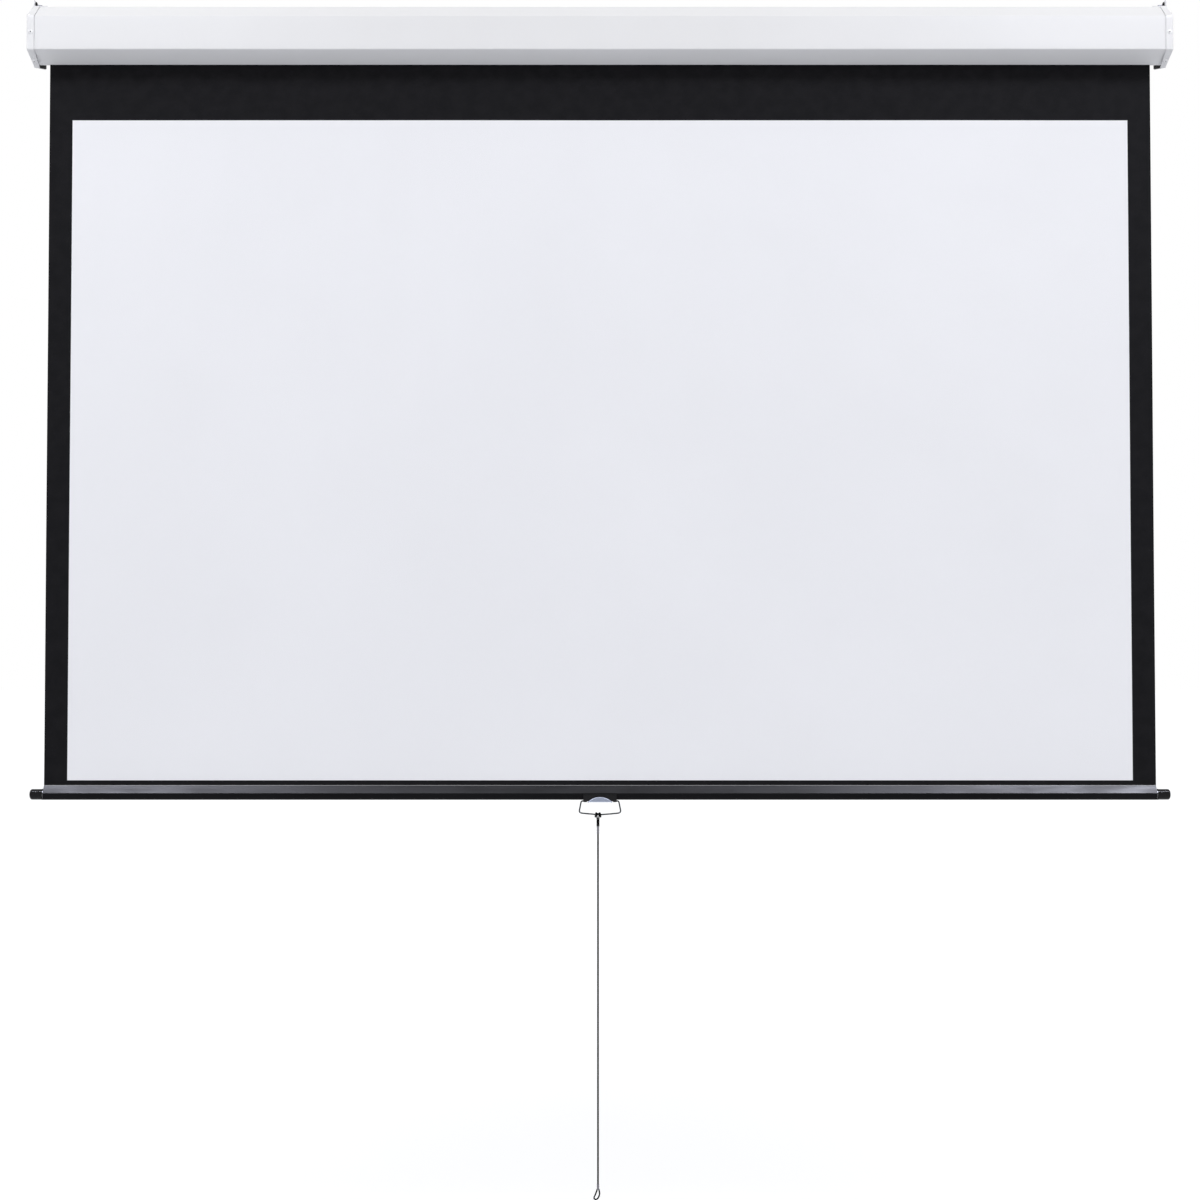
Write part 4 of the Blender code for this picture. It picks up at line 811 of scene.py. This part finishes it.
def screw_shape(seat, normal, head, shank, length, spin):
    """A domed head over a polar grid: its height is the rise times (1 - r^p)^(1/p), less the cross recess.
    Then come the flat under the head, the shank and its point. Quads deep in the recess take the second coat,
    painted shade."""
    sides, fine_to = 72, 0.6
    rise = DOME_RISE * head
    rim_share = np.sin(np.linspace(0, math.pi / 2, 40))[1:]
    share = np.concatenate([np.linspace(0, fine_to, 30), fine_to + (1 - fine_to) * rim_share])
    angles = np.linspace(0, 2 * math.pi, sides + 1)
    r = head * share[:, None] * np.ones_like(angles)
    a, b = r * np.cos(angles), r * np.sin(angles)
    hollow = cross_recess(a * SCREW_HEAD / head, b * SCREW_HEAD / head)
    height = rise * (1 - share[:, None] ** DOME_POWER) ** (1 / DOME_POWER) - hollow * RECESS_DEPTH * rise
    under = np.array([(0.0, shank), (-length + shank, shank), (-length, 0.25 * shank), (-length, 0.0)])
    r = np.concatenate([r, under[:, 1:] * np.ones_like(angles)])
    height = np.concatenate([height, under[:, :1] * np.ones_like(angles)])
    axis, across, other = axes_about(normal, spin)
    shape = grid(np.asarray(seat) + height[..., None] * axis + r[..., None] * ring(angles, across, other))
    # Quads deep in the cross recess take the near-black coat: painted shade in the recess.
    dark = hollow.ravel()[shape.quads[:(len(share) - 1) * sides]].min(1) > 0.30
    shape.coat[:len(dark)] = dark
    return shape


def screw_places():
    """Each cap screw's name, inset from the case's end, point (y, z) under the flange, outward normal there,
    and length."""
    low, fold = CAP_CORNERS[:2]
    lower = fold + (low - fold) * LOWER_SCREW_SHARE
    lower_normal = np.array([[0.0, -1.0], [1.0, 0.0]]) @ unit(fold - low)
    return [
        ("front", SCREW_INSET, np.array((fold[0], FRONT_SCREW_Z)), np.array((-1.0, 0.0)), SCREW_LENGTH),
        ("lower", LOWER_SCREW_INSET, lower, lower_normal, LOWER_SCREW_LENGTH),
        ("top", SCREW_INSET, np.array((TOP_SCREW_Y, CAP_CORNERS[-1, 1])), np.array((0.0, 1.0)), SCREW_LENGTH),
    ]


def build_screws(side, word, coats):
    """A cap's three screws, and the two that hold the roller's bracket to it, all turned by unlike angles."""
    lift = GAP + FLANGE
    for turn, (name, inset, place, normal, length) in enumerate(screw_places()):
        seat = (side * (CASE_HALF - inset), *(place + normal * lift))
        shape = screw_shape(seat, (0.0, *normal), SCREW_HEAD, SCREW_SHANK, length, 0.5 + 1.1 * turn + side)
        node = f"cap_screw_{word}_{name}"
        make(f"{node}_head", shape, coats, "case", [node])
    for turn, (name, rise) in enumerate((("upper", PLATE_SCREW_RISE), ("lower", -PLATE_SCREW_RISE))):
        seat = (side * CASE_HALF, ROLLER_Y, ROLLER_Z + rise)
        shape = screw_shape(seat, (side, 0, 0), SCREW_HEAD, SCREW_SHANK, PLATE_SCREW_LENGTH, 0.3 + 0.9 * turn)
        node = f"bracket_screw_{word}_{name}"
        make(f"{node}_head", shape, coats, "case", [node])


def build_mount_screw(side, word, coats):
    """The small screw that holds the handle's mount to the bar."""
    low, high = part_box(f"mount_screw_{word}")
    seat = ((low.x + high.x) / 2, BAR_Y, MOUNT_SCREW_Z)
    shape = screw_shape(seat, (0, 0, -1), MOUNT_SCREW_HEAD, MOUNT_SCREW_SHANK, MOUNT_SCREW_LENGTH, 0.4 * side)
    make(f"mount_screw_{word}_head", shape, coats, "bar", [f"mount_screw_{word}"])


def build_grommet(side, word, coat):
    """A rubber ring with a round lip on each side of the ear. Distances run inwards from the case's end."""
    low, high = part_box(f"hanger_grommet_{word}")
    centre_y, centre_z = (low.y + high.y) / 2, (low.z + high.z) / 2
    lip, bore, groove = high.z - centre_z, 0.0031, 0.0043
    outer_face, ear_outside, ear_inside, inner_face = -0.0020, -0.0001, 0.0021, 0.0041
    seam = (0.001, bore)
    corners = [(outer_face, bore), (outer_face, lip), (ear_outside, lip), (ear_outside, groove),
               (ear_inside, groove), (ear_inside, lip), (inner_face, lip), (inner_face, bore)]
    radii = [0.0005, 0.0008, 0.00003, 0.0002]
    line = round_corners([seam, *corners, seam], radii + radii[::-1], 6)
    points = turned(line, (side * CASE_HALF, centre_y, centre_z), (-side, 0, 0), 64)
    make(f"ear_grommet_{word}", grid(points), [coat], "case", [f"hanger_grommet_{word}"])


def hexagon(apothem):
    """Radius at each angle: the hexagon's side, cut back by the chamfer's cone where that is nearer."""
    def shape(distance, radius, angles):
        side = apothem / np.cos((angles % (math.pi / 3)) - math.pi / 6)
        return np.minimum(radius * np.ones_like(angles), side)
    return shape


def build_bolt(side, word, coat):
    """A hexagon bolt with a washer face: hexagon rows where the head is, round rows elsewhere."""
    low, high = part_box(f"hanger_bolt_{word}")
    x, y = (low.x + high.x) / 2, (low.y + high.y) / 2
    tall, chamfer, edge, bevel = 0.0052, 0.0007, 0.0002, 0.0005
    head, shank, washer, washer_tall = 0.0054, 0.0030, (high.x - low.x) / 2, 0.0010
    top_edge, top_flat = 0.0044, 0.0042
    seat = high.z - tall
    point = low.z - seat
    lower = [(point, 0.0), (point, shank - bevel), (point + bevel, shank), (0.0, shank), (0.0, washer - edge),
             (edge, washer), (washer_tall - edge, washer), (washer_tall, washer - edge)]
    upper = [(washer_tall, head), (tall - chamfer, head), (tall - 0.4 * chamfer, head - 0.4 * chamfer),
             (tall - 0.0001, top_edge), (tall, top_flat), (tall, 0.0)]
    round_part = turned(lower, (x, y, seat), (0, 0, 1), 72)
    hex_part = turned(upper, (x, y, seat), (0, 0, 1), 72, 0.35 * side, hexagon(0.88 * head))
    shape = grid(np.concatenate([round_part, hex_part]))
    make(f"ear_bolt_{word}", shape, [coat], "case", [f"hanger_bolt_{word}"])


def build_seal(side, word, coat):
    """A rubber strip inside the end plate: it fills the wedge between the case's underside and a line just
    above the plate's bare lower edge, and all its edges are round."""
    low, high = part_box(f"slot_seal_{word}")
    corner_y, corner_z = offset_corners(CAP_CORNERS, GAP + FLANGE)[0]
    under_y, under_z = CASE_CORNERS[7]
    rear_z = CASE_CORNERS[6, 1]

    def plate_edge(y):
        return CAP_BACK_LOW + (corner_z - CAP_BACK_LOW) * y / corner_y + SEAL_REVEAL

    def case_under(y):
        return rear_z + (under_z - rear_z) * y / under_y - GAP

    corners = [(low.y, plate_edge(low.y)), (high.y, plate_edge(high.y)), (high.y, case_under(high.y)),
               (under_y, case_under(under_y)), (low.y, SEAL_FRONT_TOP)]
    shape = block(round_outline(corners, 0.0006, 4), low.x, high.x, 0.0004)
    make(f"seal_strip_{word}", shape, [coat], "case", [f"slot_seal_{word}"])


def sheet_wave(x, z):
    """How far the hanging cloth stands from its plane: three long soft waves, none at the roller or the
    hem."""
    down = -z / SHEET_LENGTH
    hold = np.sin(math.pi * np.clip(down, 0, 1)) ** 0.8
    waves = 0.55 * np.sin(2 * math.pi * (x / 1.10 + 0.35 * down) + 0.8)
    waves += 0.30 * np.sin(2 * math.pi * (x / 0.52 - 0.50 * down) + 2.1)
    waves += 0.35 * np.sin(2 * math.pi * (1.30 * down + 0.18 * x) + 0.4)
    return 0.0016 * hold * waves


def build_screen(coats):
    """The hanging sheet: a front and a back grid at the frame's two faces, with the flat cut's own map."""
    xs = np.linspace(-SHEET_HALF, SHEET_HALF, ALONG_SHEET)
    zs = np.linspace(0.0, HEM_TOP + GAP, DOWN_SHEET)
    x, z = np.meshgrid(xs, zs)
    wave = sheet_wave(x, z)
    front = np.stack([x, SHEET_FRONT + wave, z], axis=-1)
    back = np.stack([x, SHEET_BACK + wave, z], axis=-1)
    shape = walled(front, back, np.stack([x, z], axis=-1), coats=(0, 1, 1))
    return make("hanging_screen", shape, coats, "case", ["screen_fabric"])


def build_wound(coat):
    """The wound screen: a spiral ribbon of a little over two turns, whose radius falls evenly with the
    angle."""
    turns, steps, clear = 2.3, 140, 0.00012
    angles = math.pi - np.linspace(0, 2 * math.pi * turns, steps)
    radius = np.linspace(WOUND_RADIUS, ROLLER_RADIUS + clear + CLOTH, steps)
    faces = []
    for r in (radius, radius - CLOTH):
        line = np.stack([ROLLER_Y + r * np.cos(angles), ROLLER_Z + r * np.sin(angles)], axis=1)
        faces.append(swept(line, np.linspace(-SHEET_HALF, SHEET_HALF, 9)))
    return make("wound_roll", walled(*faces), [coat], "roller", ["wound_screen"])


def hem_section():
    """The hem's outer and inner lines about the bar's middle. Front: a straight face from the apex to a
    corner of 1.2 mm radius. Then an arc round the bar, and the tangent back up to the apex behind."""
    apex = np.array((0.0, HEM_TOP - BAR_Z))
    half_apex, turn_start, arc_start = 0.0004, 0.10, 0.16
    lines = []
    for wall in (0.0, HEM_WALL):
        radius = HEM_RADIUS - wall
        top = apex - (0.0, 2.4 * wall)
        front_top = top + (-half_apex + 0.5 * wall, 0.0)
        front_low = np.array((-0.0122 + wall, 0.0034))
        turn_low = np.array((-radius * math.cos(turn_start), -radius * math.sin(turn_start)))
        reach = math.acos(radius / top[1])
        arc_angles = np.linspace(math.pi + arc_start, 2 * math.pi + math.pi / 2 - reach, 40)
        arc = radius * np.stack([np.cos(arc_angles), np.sin(arc_angles)], axis=1)
        front = round_corners([front_top, front_low, turn_low, arc[0]], [0.0012, 0.0040], 8)
        behind = top + (half_apex - 0.5 * wall, 0.0)
        lines.append(np.concatenate([front, arc[1:], behind[None]]))
    return split_runs(lines, HEM_RUN)


def build_hem(coats):
    """The hem pocket: its section drawn out along X, with a faint wander of the cloth. The quads of its
    outer face past the glossy front take the second coat, a darker, duller copy of the same vinyl: painted
    shade on the underside."""
    outer, inner = hem_section()
    xs = np.linspace(-SHEET_HALF, SHEET_HALF, ALONG_SHEET)
    faces = []
    for line in (outer, inner):
        face = swept(line + (BAR_Y, BAR_Z), xs)
        share = np.clip((face[..., 2] - BAR_Z) / 0.0190, 0, 1)
        face[..., 1] += 0.00012 * share * np.sin(2 * math.pi * face[..., 0] / 0.31)
        faces.append(face)
    shape = walled(*faces, coats=(0, 1, 1))
    columns = len(outer) - 1
    front_end = int(np.argmin(np.abs(outer[:, 1] - HEM_GLOSS_LOW) + 10 * (outer[:, 0] > 0)))
    outer_quads = (len(xs) - 1) * columns
    # Past the glossy front the outer quads take the darker copy, painted shade on the underside.
    shape.coat[:outer_quads] = (np.arange(outer_quads) % columns) >= front_end
    return make("screen_hem", shape, coats, "bar", ["hem_pocket"])


def build_bar_cap(side, word, coat):
    """A moulded cap: plug, collar, a straight barrel and a round nose, dished a little in its middle."""
    low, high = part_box(f"bar_cap_{word}")
    start = BAR_HALF + GAP
    reach = max(abs(low.x), abs(high.x)) - start
    plug_end, collar_end = -0.0250, 0.0034
    plug, barrel, collar, nose, dish = 0.0093, 0.0117, 0.0121, 0.0052, 0.0004
    corners = [(plug_end, 0.0), (plug_end, plug), (0.0, plug), (0.0, collar), (collar_end, collar),
               (collar_end, barrel), (reach, barrel), (reach, 0.0)]
    line = round_corners(corners, [0.0010, 0.0001, 0.0005, 0.0003, 0.0001, nose], 8)
    line[:, 0] -= dish * (line[:, 0] > 0.01) * (1 - (line[:, 1] / barrel) ** 2)
    points = turned(line, (side * start, BAR_Y, BAR_Z), (side, 0, 0), 64)
    make(f"bar_end_cap_{word}", grid(points), [coat], "bar", [f"bar_cap_{word}"])


def build_insert(coat):
    """The pale insert: a low arch over two feet. Its face stands out by a base and a swell times a dome,
    (1 - |2t - 1|^3)^(1/2.4) up the face and (1 - |x/half|^16)^(1/4) along it, less a sunk field inside the
    border. The flat map's second value is 1 in that field, which the material paints darker as shade."""
    low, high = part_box("mount_insert")
    half, top, back = high.x, high.z, high.y
    arch_low, foot_width, edge = BAR_Z - 0.0160, 0.0034, 0.0006
    base, swell, sunk = 0.0008, 0.0018, 0.0005
    upper_border, lower_border = 0.0013, 0.0010
    rise = top - arch_low
    radius = (half**2 + rise**2) / (2 * rise)
    x = np.sin(np.linspace(-math.pi / 2, math.pi / 2, 97)) * half
    upper = top - (radius - np.sqrt(radius**2 - x**2))
    lower = arch_low + (low.z - arch_low) * ease((np.abs(x) - (half - foot_width)) / edge)
    t = (1 - np.cos(np.linspace(0, math.pi, 41)))[:, None] / 2
    z = lower + (upper - lower) * t
    across = (1 - np.abs(x / half) ** 16) ** (1 / 4)
    dome = (1 - np.abs(2 * t - 1) ** 3.0) ** (1 / 2.4)
    field = ease((upper - z - upper_border) / edge) * ease((z - lower - lower_border) / edge)
    y = back - (base + swell * dome * across) + sunk * field
    wide = np.broadcast_to(x, z.shape)
    front = np.stack([wide, y, z], axis=-1)
    rear = np.stack([wide, np.full(z.shape, back), z], axis=-1)
    # The field rides on the flat map, where the material paints it darker as shade.
    shape = walled(front, rear, np.stack([wide, field], axis=-1))
    make("handle_insert", shape, [coat], "bar", ["mount_insert"])


def bail_path():
    """The wire's route: from a pivot in the mount down to the cord's place, and back the same way."""
    half = [(0.0290, PIVOT_Z), (0.0330, PIVOT_Z), (0.0374, PIVOT_Z), (0.0402, PIVOT_Z - 0.0010),
            (0.0418, PIVOT_Z - 0.0040), (0.0434, -1.7120), (0.0450, -1.7200), (0.0446, -1.7238),
            (0.0410, -1.7262), (0.0300, -1.7275), (0.0150, -1.7288)]
    whole = [(-x, z) for x, z in half] + [(CORD_X, BAIL_LOW_Z)] + half[::-1]
    return smooth_path([(x, BAR_Y, z) for x, z in whole], WIRE_RUN)


def build_bail(coat):
    """The wire bail, a rod along its route."""
    points, flat = rod_along(bail_path(), WIRE_RADIUS, ROD_SIDES, (0, 1, 0))
    make("bail_wire", capped(points, flat), [coat], "bail", ["wire_bail"])


def hitch_path():
    """The doubled cord hitched over the wire: up in front of it, over, down behind, forward under it on the
    outside, and across in front at the wire's height. Below the knot the left strand lies in front of the
    right one."""
    half = [(-0.00155, 0.0, UPPER_FERRULE[1].z + GAP - BAIL_LOW_Z), (-0.00155, 0.0, -0.0205),
            (-0.00155, 0.0, -0.0160), (-0.00158, -0.0004, -0.0120), (-0.00172, -0.0016, -0.0085),
            (-0.00200, -0.0031, -0.0052), (-0.00265, -0.0038, -0.0015), (-0.00285, -0.0033, 0.0019),
            (-0.00340, -0.0014, 0.0037), (-0.00420, 0.0012, 0.0037), (-0.00490, 0.0034, 0.0017),
            (-0.00540, 0.0037, -0.0014), (-0.00570, 0.0020, -0.0039), (-0.00580, -0.0010, -0.0046),
            (-0.00580, -0.0038, -0.0036), (-0.00560, -0.0058, -0.0014), (-0.00470, -0.0068, 0.0012),
            (-0.00280, -0.0069, 0.0026)]
    whole = np.array(half + [(0.0, -0.0069, 0.0030)] + [(-x, y, z) for x, y, z in half[::-1]])
    share = np.clip((HITCH_KNOT_LOW - whole[:, 2]) / HITCH_KNOT_FADE, 0, 1)
    whole[:, 1] += np.sign(whole[:, 0]) * HITCH_STAGGER * share
    return smooth_path(whole + (CORD_X, BAR_Y, BAIL_LOW_Z), CORD_RUN)


def pull_path():
    """The straight cord, from one crimp sleeve to the other."""
    ends = [(CORD_X, BAR_Y, UPPER_FERRULE[0].z - GAP), (CORD_X, BAR_Y, LOWER_FERRULE[1].z + GAP)]
    return smooth_path(ends, PULL_CORD_RUN)


def loop_path():
    """A teardrop that leans to the left under the lower crimp sleeve."""
    places = [(-0.00175, 0.0), (-0.0031, -0.0048), (-0.0060, -0.0120), (-0.0084, -0.0174), (-0.0079, -0.0208),
              (-0.0049, -0.0222), (-0.0012, -0.0204), (0.0016, -0.0164), (0.0034, -0.0105), (0.0030, -0.0048),
              (0.00175, 0.0)]
    return smooth_path([(CORD_X + x, BAR_Y, LOWER_FERRULE[0].z - GAP + z) for x, z in places], CORD_RUN)


def braid_relief(run, share):
    """Eight-strand braid: the radius is full on each strand's crown and falls by a tenth between strands,
    after the product of two opposite helices' cosines."""
    left = np.abs(np.cos(math.pi * (4 * share + run / BRAID_PITCH * 2)))
    right = np.abs(np.cos(math.pi * (4 * share - run / BRAID_PITCH * 2)))
    return 1.0 - 0.10 * (1 - left * right)


def build_cord(name, path, radius, guide, coat, node):
    """A braided cord along its path."""
    points, flat = rod_along(path, radius, ROD_SIDES, guide, braid_relief)
    return make(name, capped(points, flat), [coat], "cord", [node], crease=70.0)


def build_ferrule(word, box, coat):
    """A crimped sleeve: round at its rims, and pressed oval over two bands."""
    low, high = box
    tall, radius = high.z - low.z, (high.x - low.x) / 2
    corners = [(0.0, 0.0), (0.0, radius), (tall, radius), (tall, 0.0)]
    line, = split_runs([round_corners(corners, 0.0005, 5)], SLEEVE_RUN)

    def pressed(distance, rad, angles):
        share = distance / tall
        bands = np.exp(-(((share - 0.30) / 0.10) ** 4)) + np.exp(-(((share - 0.70) / 0.10) ** 4))
        return rad * (1 - 0.13 * bands * np.cos(2 * angles) ** 2)

    points = turned(line, (CORD_X, BAR_Y, low.z), (0, 0, 1), 48, 0.0, pressed)
    return make(f"crimp_sleeve_{word}", grid(points), [coat], "cord", [f"cord_ferrule_{word}"])


def build_cords(coat, sleeve_coat):
    """The hitch, the straight cord and the end loop, and the two crimp sleeves between them."""
    hitch = build_cord("hitch_cord", hitch_path(), CORD_RADIUS, (1, 0, 1), coat, "cord_hitch")
    line = build_cord("pull_line", pull_path(), PULL_CORD_RADIUS, (1, 0, 0), coat, "pull_cord")
    loop = build_cord("end_loop", loop_path(), CORD_RADIUS, (0, 1, 0), coat, "cord_end_loop")
    upper = build_ferrule("upper", UPPER_FERRULE, sleeve_coat)
    lower = build_ferrule("lower", LOWER_FERRULE, sleeve_coat)
    hitch_path()


def build_cloth():
    """The hanging sheet, which shortens as the bar rises, with what is wound on the roller and the hem."""
    rear = screen_rear()
    screen = build_screen([screen_front(), rear])
    roll = build_wound(rear)
    hem = build_hem([hem_face(), hem_shaded_copy()])
    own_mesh(screen)


def build_spring(coat):
    """The torsion spring: a helix of thirty turns, its rings square to the wire."""
    low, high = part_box("torsion_spring")
    turns, wire, radius = 30, 0.0011, 0.0115
    angles = np.linspace(0, 2 * math.pi * turns, turns * 28 + 1)
    xs = low.x + wire + (high.x - low.x - 2 * wire) * angles / angles[-1]
    path = np.stack([xs, ROLLER_Y + radius * np.cos(angles), ROLLER_Z + radius * np.sin(angles)], axis=1)
    points, _ = rod_along(path, wire, 12, (1, 0, 0))
    make("spring_coil", capped(points), [coat], "case", ["torsion_spring"])


def finish_kept_nodes(zinc, steel, nylon, black):
    """Materials for the frame's own pieces that stay as they are."""
    kept = [
        (zinc, ["hanger_nut_left", "hanger_nut_right", "roller_bracket_left", "roller_bracket_right",
                "spring_spear"]),
        (steel, ["roller_tube", "idle_pin", "pawl_pin_upper", "pawl_pin_lower", "pawl_upper", "pawl_lower",
                 "ratchet_wheel", "spring_mandrel", "weight_bar"]),
        (nylon, ["idle_bush", "spring_hub", "spring_anchor"]),
        (black, ["roller_plug_left", "roller_plug_right"]),
    ]
    for finish, names in kept:
        for name in names:
            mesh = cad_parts[name].data
            mesh.materials.clear()
            mesh.materials.append(finish)


def build_all():
    """Every piece, with its finish."""
    white, soft, bolt_coat, black = enamel(), rubber(), blackened(), gloss_black()
    # recess is the near-black painted shade for the screws' cross recesses, cap screws and mount screws
    # alike.
    zinc, steel, nylon, recess = bright_zinc(), rolled_steel(), milky_nylon(), screw_recess_shade()
    screw_coats = [screw_enamel(), recess]
    build_cords(braid(), crimped_metal())
    build_case(white)
    for side, word in SIDES:
        build_cap(side, word, white)
        build_screws(side, word, screw_coats)
        softened(f"ear_plate_{word}", f"hanger_ear_{word}", 0.0004, [white], "case")
        build_grommet(side, word, soft)
        build_bolt(side, word, bolt_coat)
        build_seal(side, word, soft)
        build_bar_cap(side, word, black)
        build_mount_screw(side, word, [zinc, recess])
    build_cloth()
    softened("handle_cradle", "handle_mount", 0.0006, [satin_black()], "bar")
    build_insert(silver_plastic())
    build_bail(dark_wire())
    build_spring(steel)
    finish_kept_nodes(zinc, steel, nylon, black)


def seen_directly(graph):
    """1 for camera, glossy and transmission rays, which see the white background."""
    rays = graph.node("LightPath", {})
    total = rays["Is Camera Ray"]
    for name in ("Is Glossy Ray", "Is Transmission Ray"):
        total = graph.maths("ADD", total, rays[name], clamp=True)
    return total


def build_world():
    """White where it is seen. What lights the object is brightest just above the horizon, and darker below
    it."""
    world = bpy.data.worlds.new("studio")
    bpy.context.scene.world = world
    world.use_nodes = True
    graph = Graph(world.node_tree)
    upwards = graph.parts(graph.node("TexCoord", {})["Generated"])["Z"]
    height = graph.ramp(upwards, -1.0, 1.0, kind="LINEAR")
    sky = graph.node("ValToRGB", {"Fac": height})["Color"]
    stops = sky.node.color_ramp.elements
    for position in SKY_POSITIONS[2:]:
        stops.new(position)
    for stop, position, colour in zip(stops, SKY_POSITIONS, SKY_COLOURS):
        stop.position = position
        stop.color = (*colour, 1.0)
    seen = graph.mix(seen_directly(graph), sky, (1.0, 1.0, 1.0))
    graph.feed(graph.tree.nodes["Background"].inputs["Color"], seen)


def floor_paper():
    """Paper that reads white and keeps a soft shadow: a diffuse part takes the shadow, and an emission for
    camera, glossy and transmission rays makes up the rest."""
    paper = bpy.data.materials.new("floor_paper")
    paper.use_nodes = True
    graph = Graph(paper.node_tree)
    graph.tree.nodes.remove(graph.tree.nodes["Principled BSDF"])
    shade = graph.node("BsdfDiffuse", {"Color": FLOOR_COLOUR})[0]
    strength = graph.maths("MULTIPLY", seen_directly(graph), FLOOR_GLOW)
    glow = graph.node("Emission", {"Color": FLOOR_GLOW_COLOUR, "Strength": strength})[0]
    both = graph.node("AddShader", {0: shade, 1: glow})[0]
    graph.feed(graph.tree.nodes["Material Output"].inputs["Surface"], both)
    return paper


def build_floor():
    """The studio's pale floor."""
    mesh = bpy.data.meshes.new("studio_floor")
    corners = [(x * FLOOR_HALF, y * FLOOR_HALF, FLOOR_Z) for x, y in ((-1, -1), (1, -1), (1, 1), (-1, 1))]
    mesh.from_pydata(corners, [], [(0, 1, 2, 3)])
    mesh.materials.append(floor_paper())
    floor = bpy.data.objects.new("studio_floor", mesh)
    bpy.context.scene.collection.objects.link(floor)


def lamp(name, side, place, target, size, radiance, glossy, colour=(1.0, 1.0, 1.0)):
    """A flat soft lamp on one side, aimed at a point; its power is radiance times pi times its area. A
    glossy lamp only shows in reflections, and the others only light what is matt."""
    light = bpy.data.lights.new(name, "AREA")
    light.shape = "RECTANGLE"
    light.size, light.size_y = size
    light.energy = radiance * math.pi * size[0] * size[1]
    light.color = colour
    body = bpy.data.objects.new(name, light)
    mirrored = np.array((side, 1.0, 1.0))
    body.location = mirrored * place
    away = mirrored * place - mirrored * target
    pitch = math.atan2(math.hypot(away[0], away[1]), away[2])
    body.rotation_euler = (pitch, 0.0, math.atan2(away[0], -away[1]))
    body.visible_diffuse = not glossy
    body.visible_glossy = glossy
    bpy.context.scene.collection.objects.link(body)


def build_camera():
    """The camera, solved from the photograph."""
    camera = bpy.data.cameras.new("photo_camera")
    camera.lens = CAMERA_LENS
    camera.sensor_width = SENSOR_WIDTH
    view = bpy.data.objects.new("photo_camera", camera)
    view.location = CAMERA_PLACE
    view.rotation_euler = (CAMERA_PITCH, 0.0, 0.0)
    bpy.context.scene.collection.objects.link(view)
    bpy.context.scene.camera = view


def build_studio():
    """World, floor, lamps and camera."""
    bpy.context.scene.view_settings.view_transform = "Standard"
    build_world()
    build_floor()
    for side, word in SIDES:
        gloss = STRIP_RADIANCE[word]
        lamp(f"softbox_{word}", side, SOFTBOX_PLACE, SOFTBOX_AIM, SOFTBOX_SIZE, SOFTBOX_RADIANCE, False)
        lamp(f"strip_{word}", side, STRIP_PLACE, STRIP_AIM, STRIP_SIZE, gloss, True, STRIP_COLOUR)
    build_camera()


build_studio()
build_all()
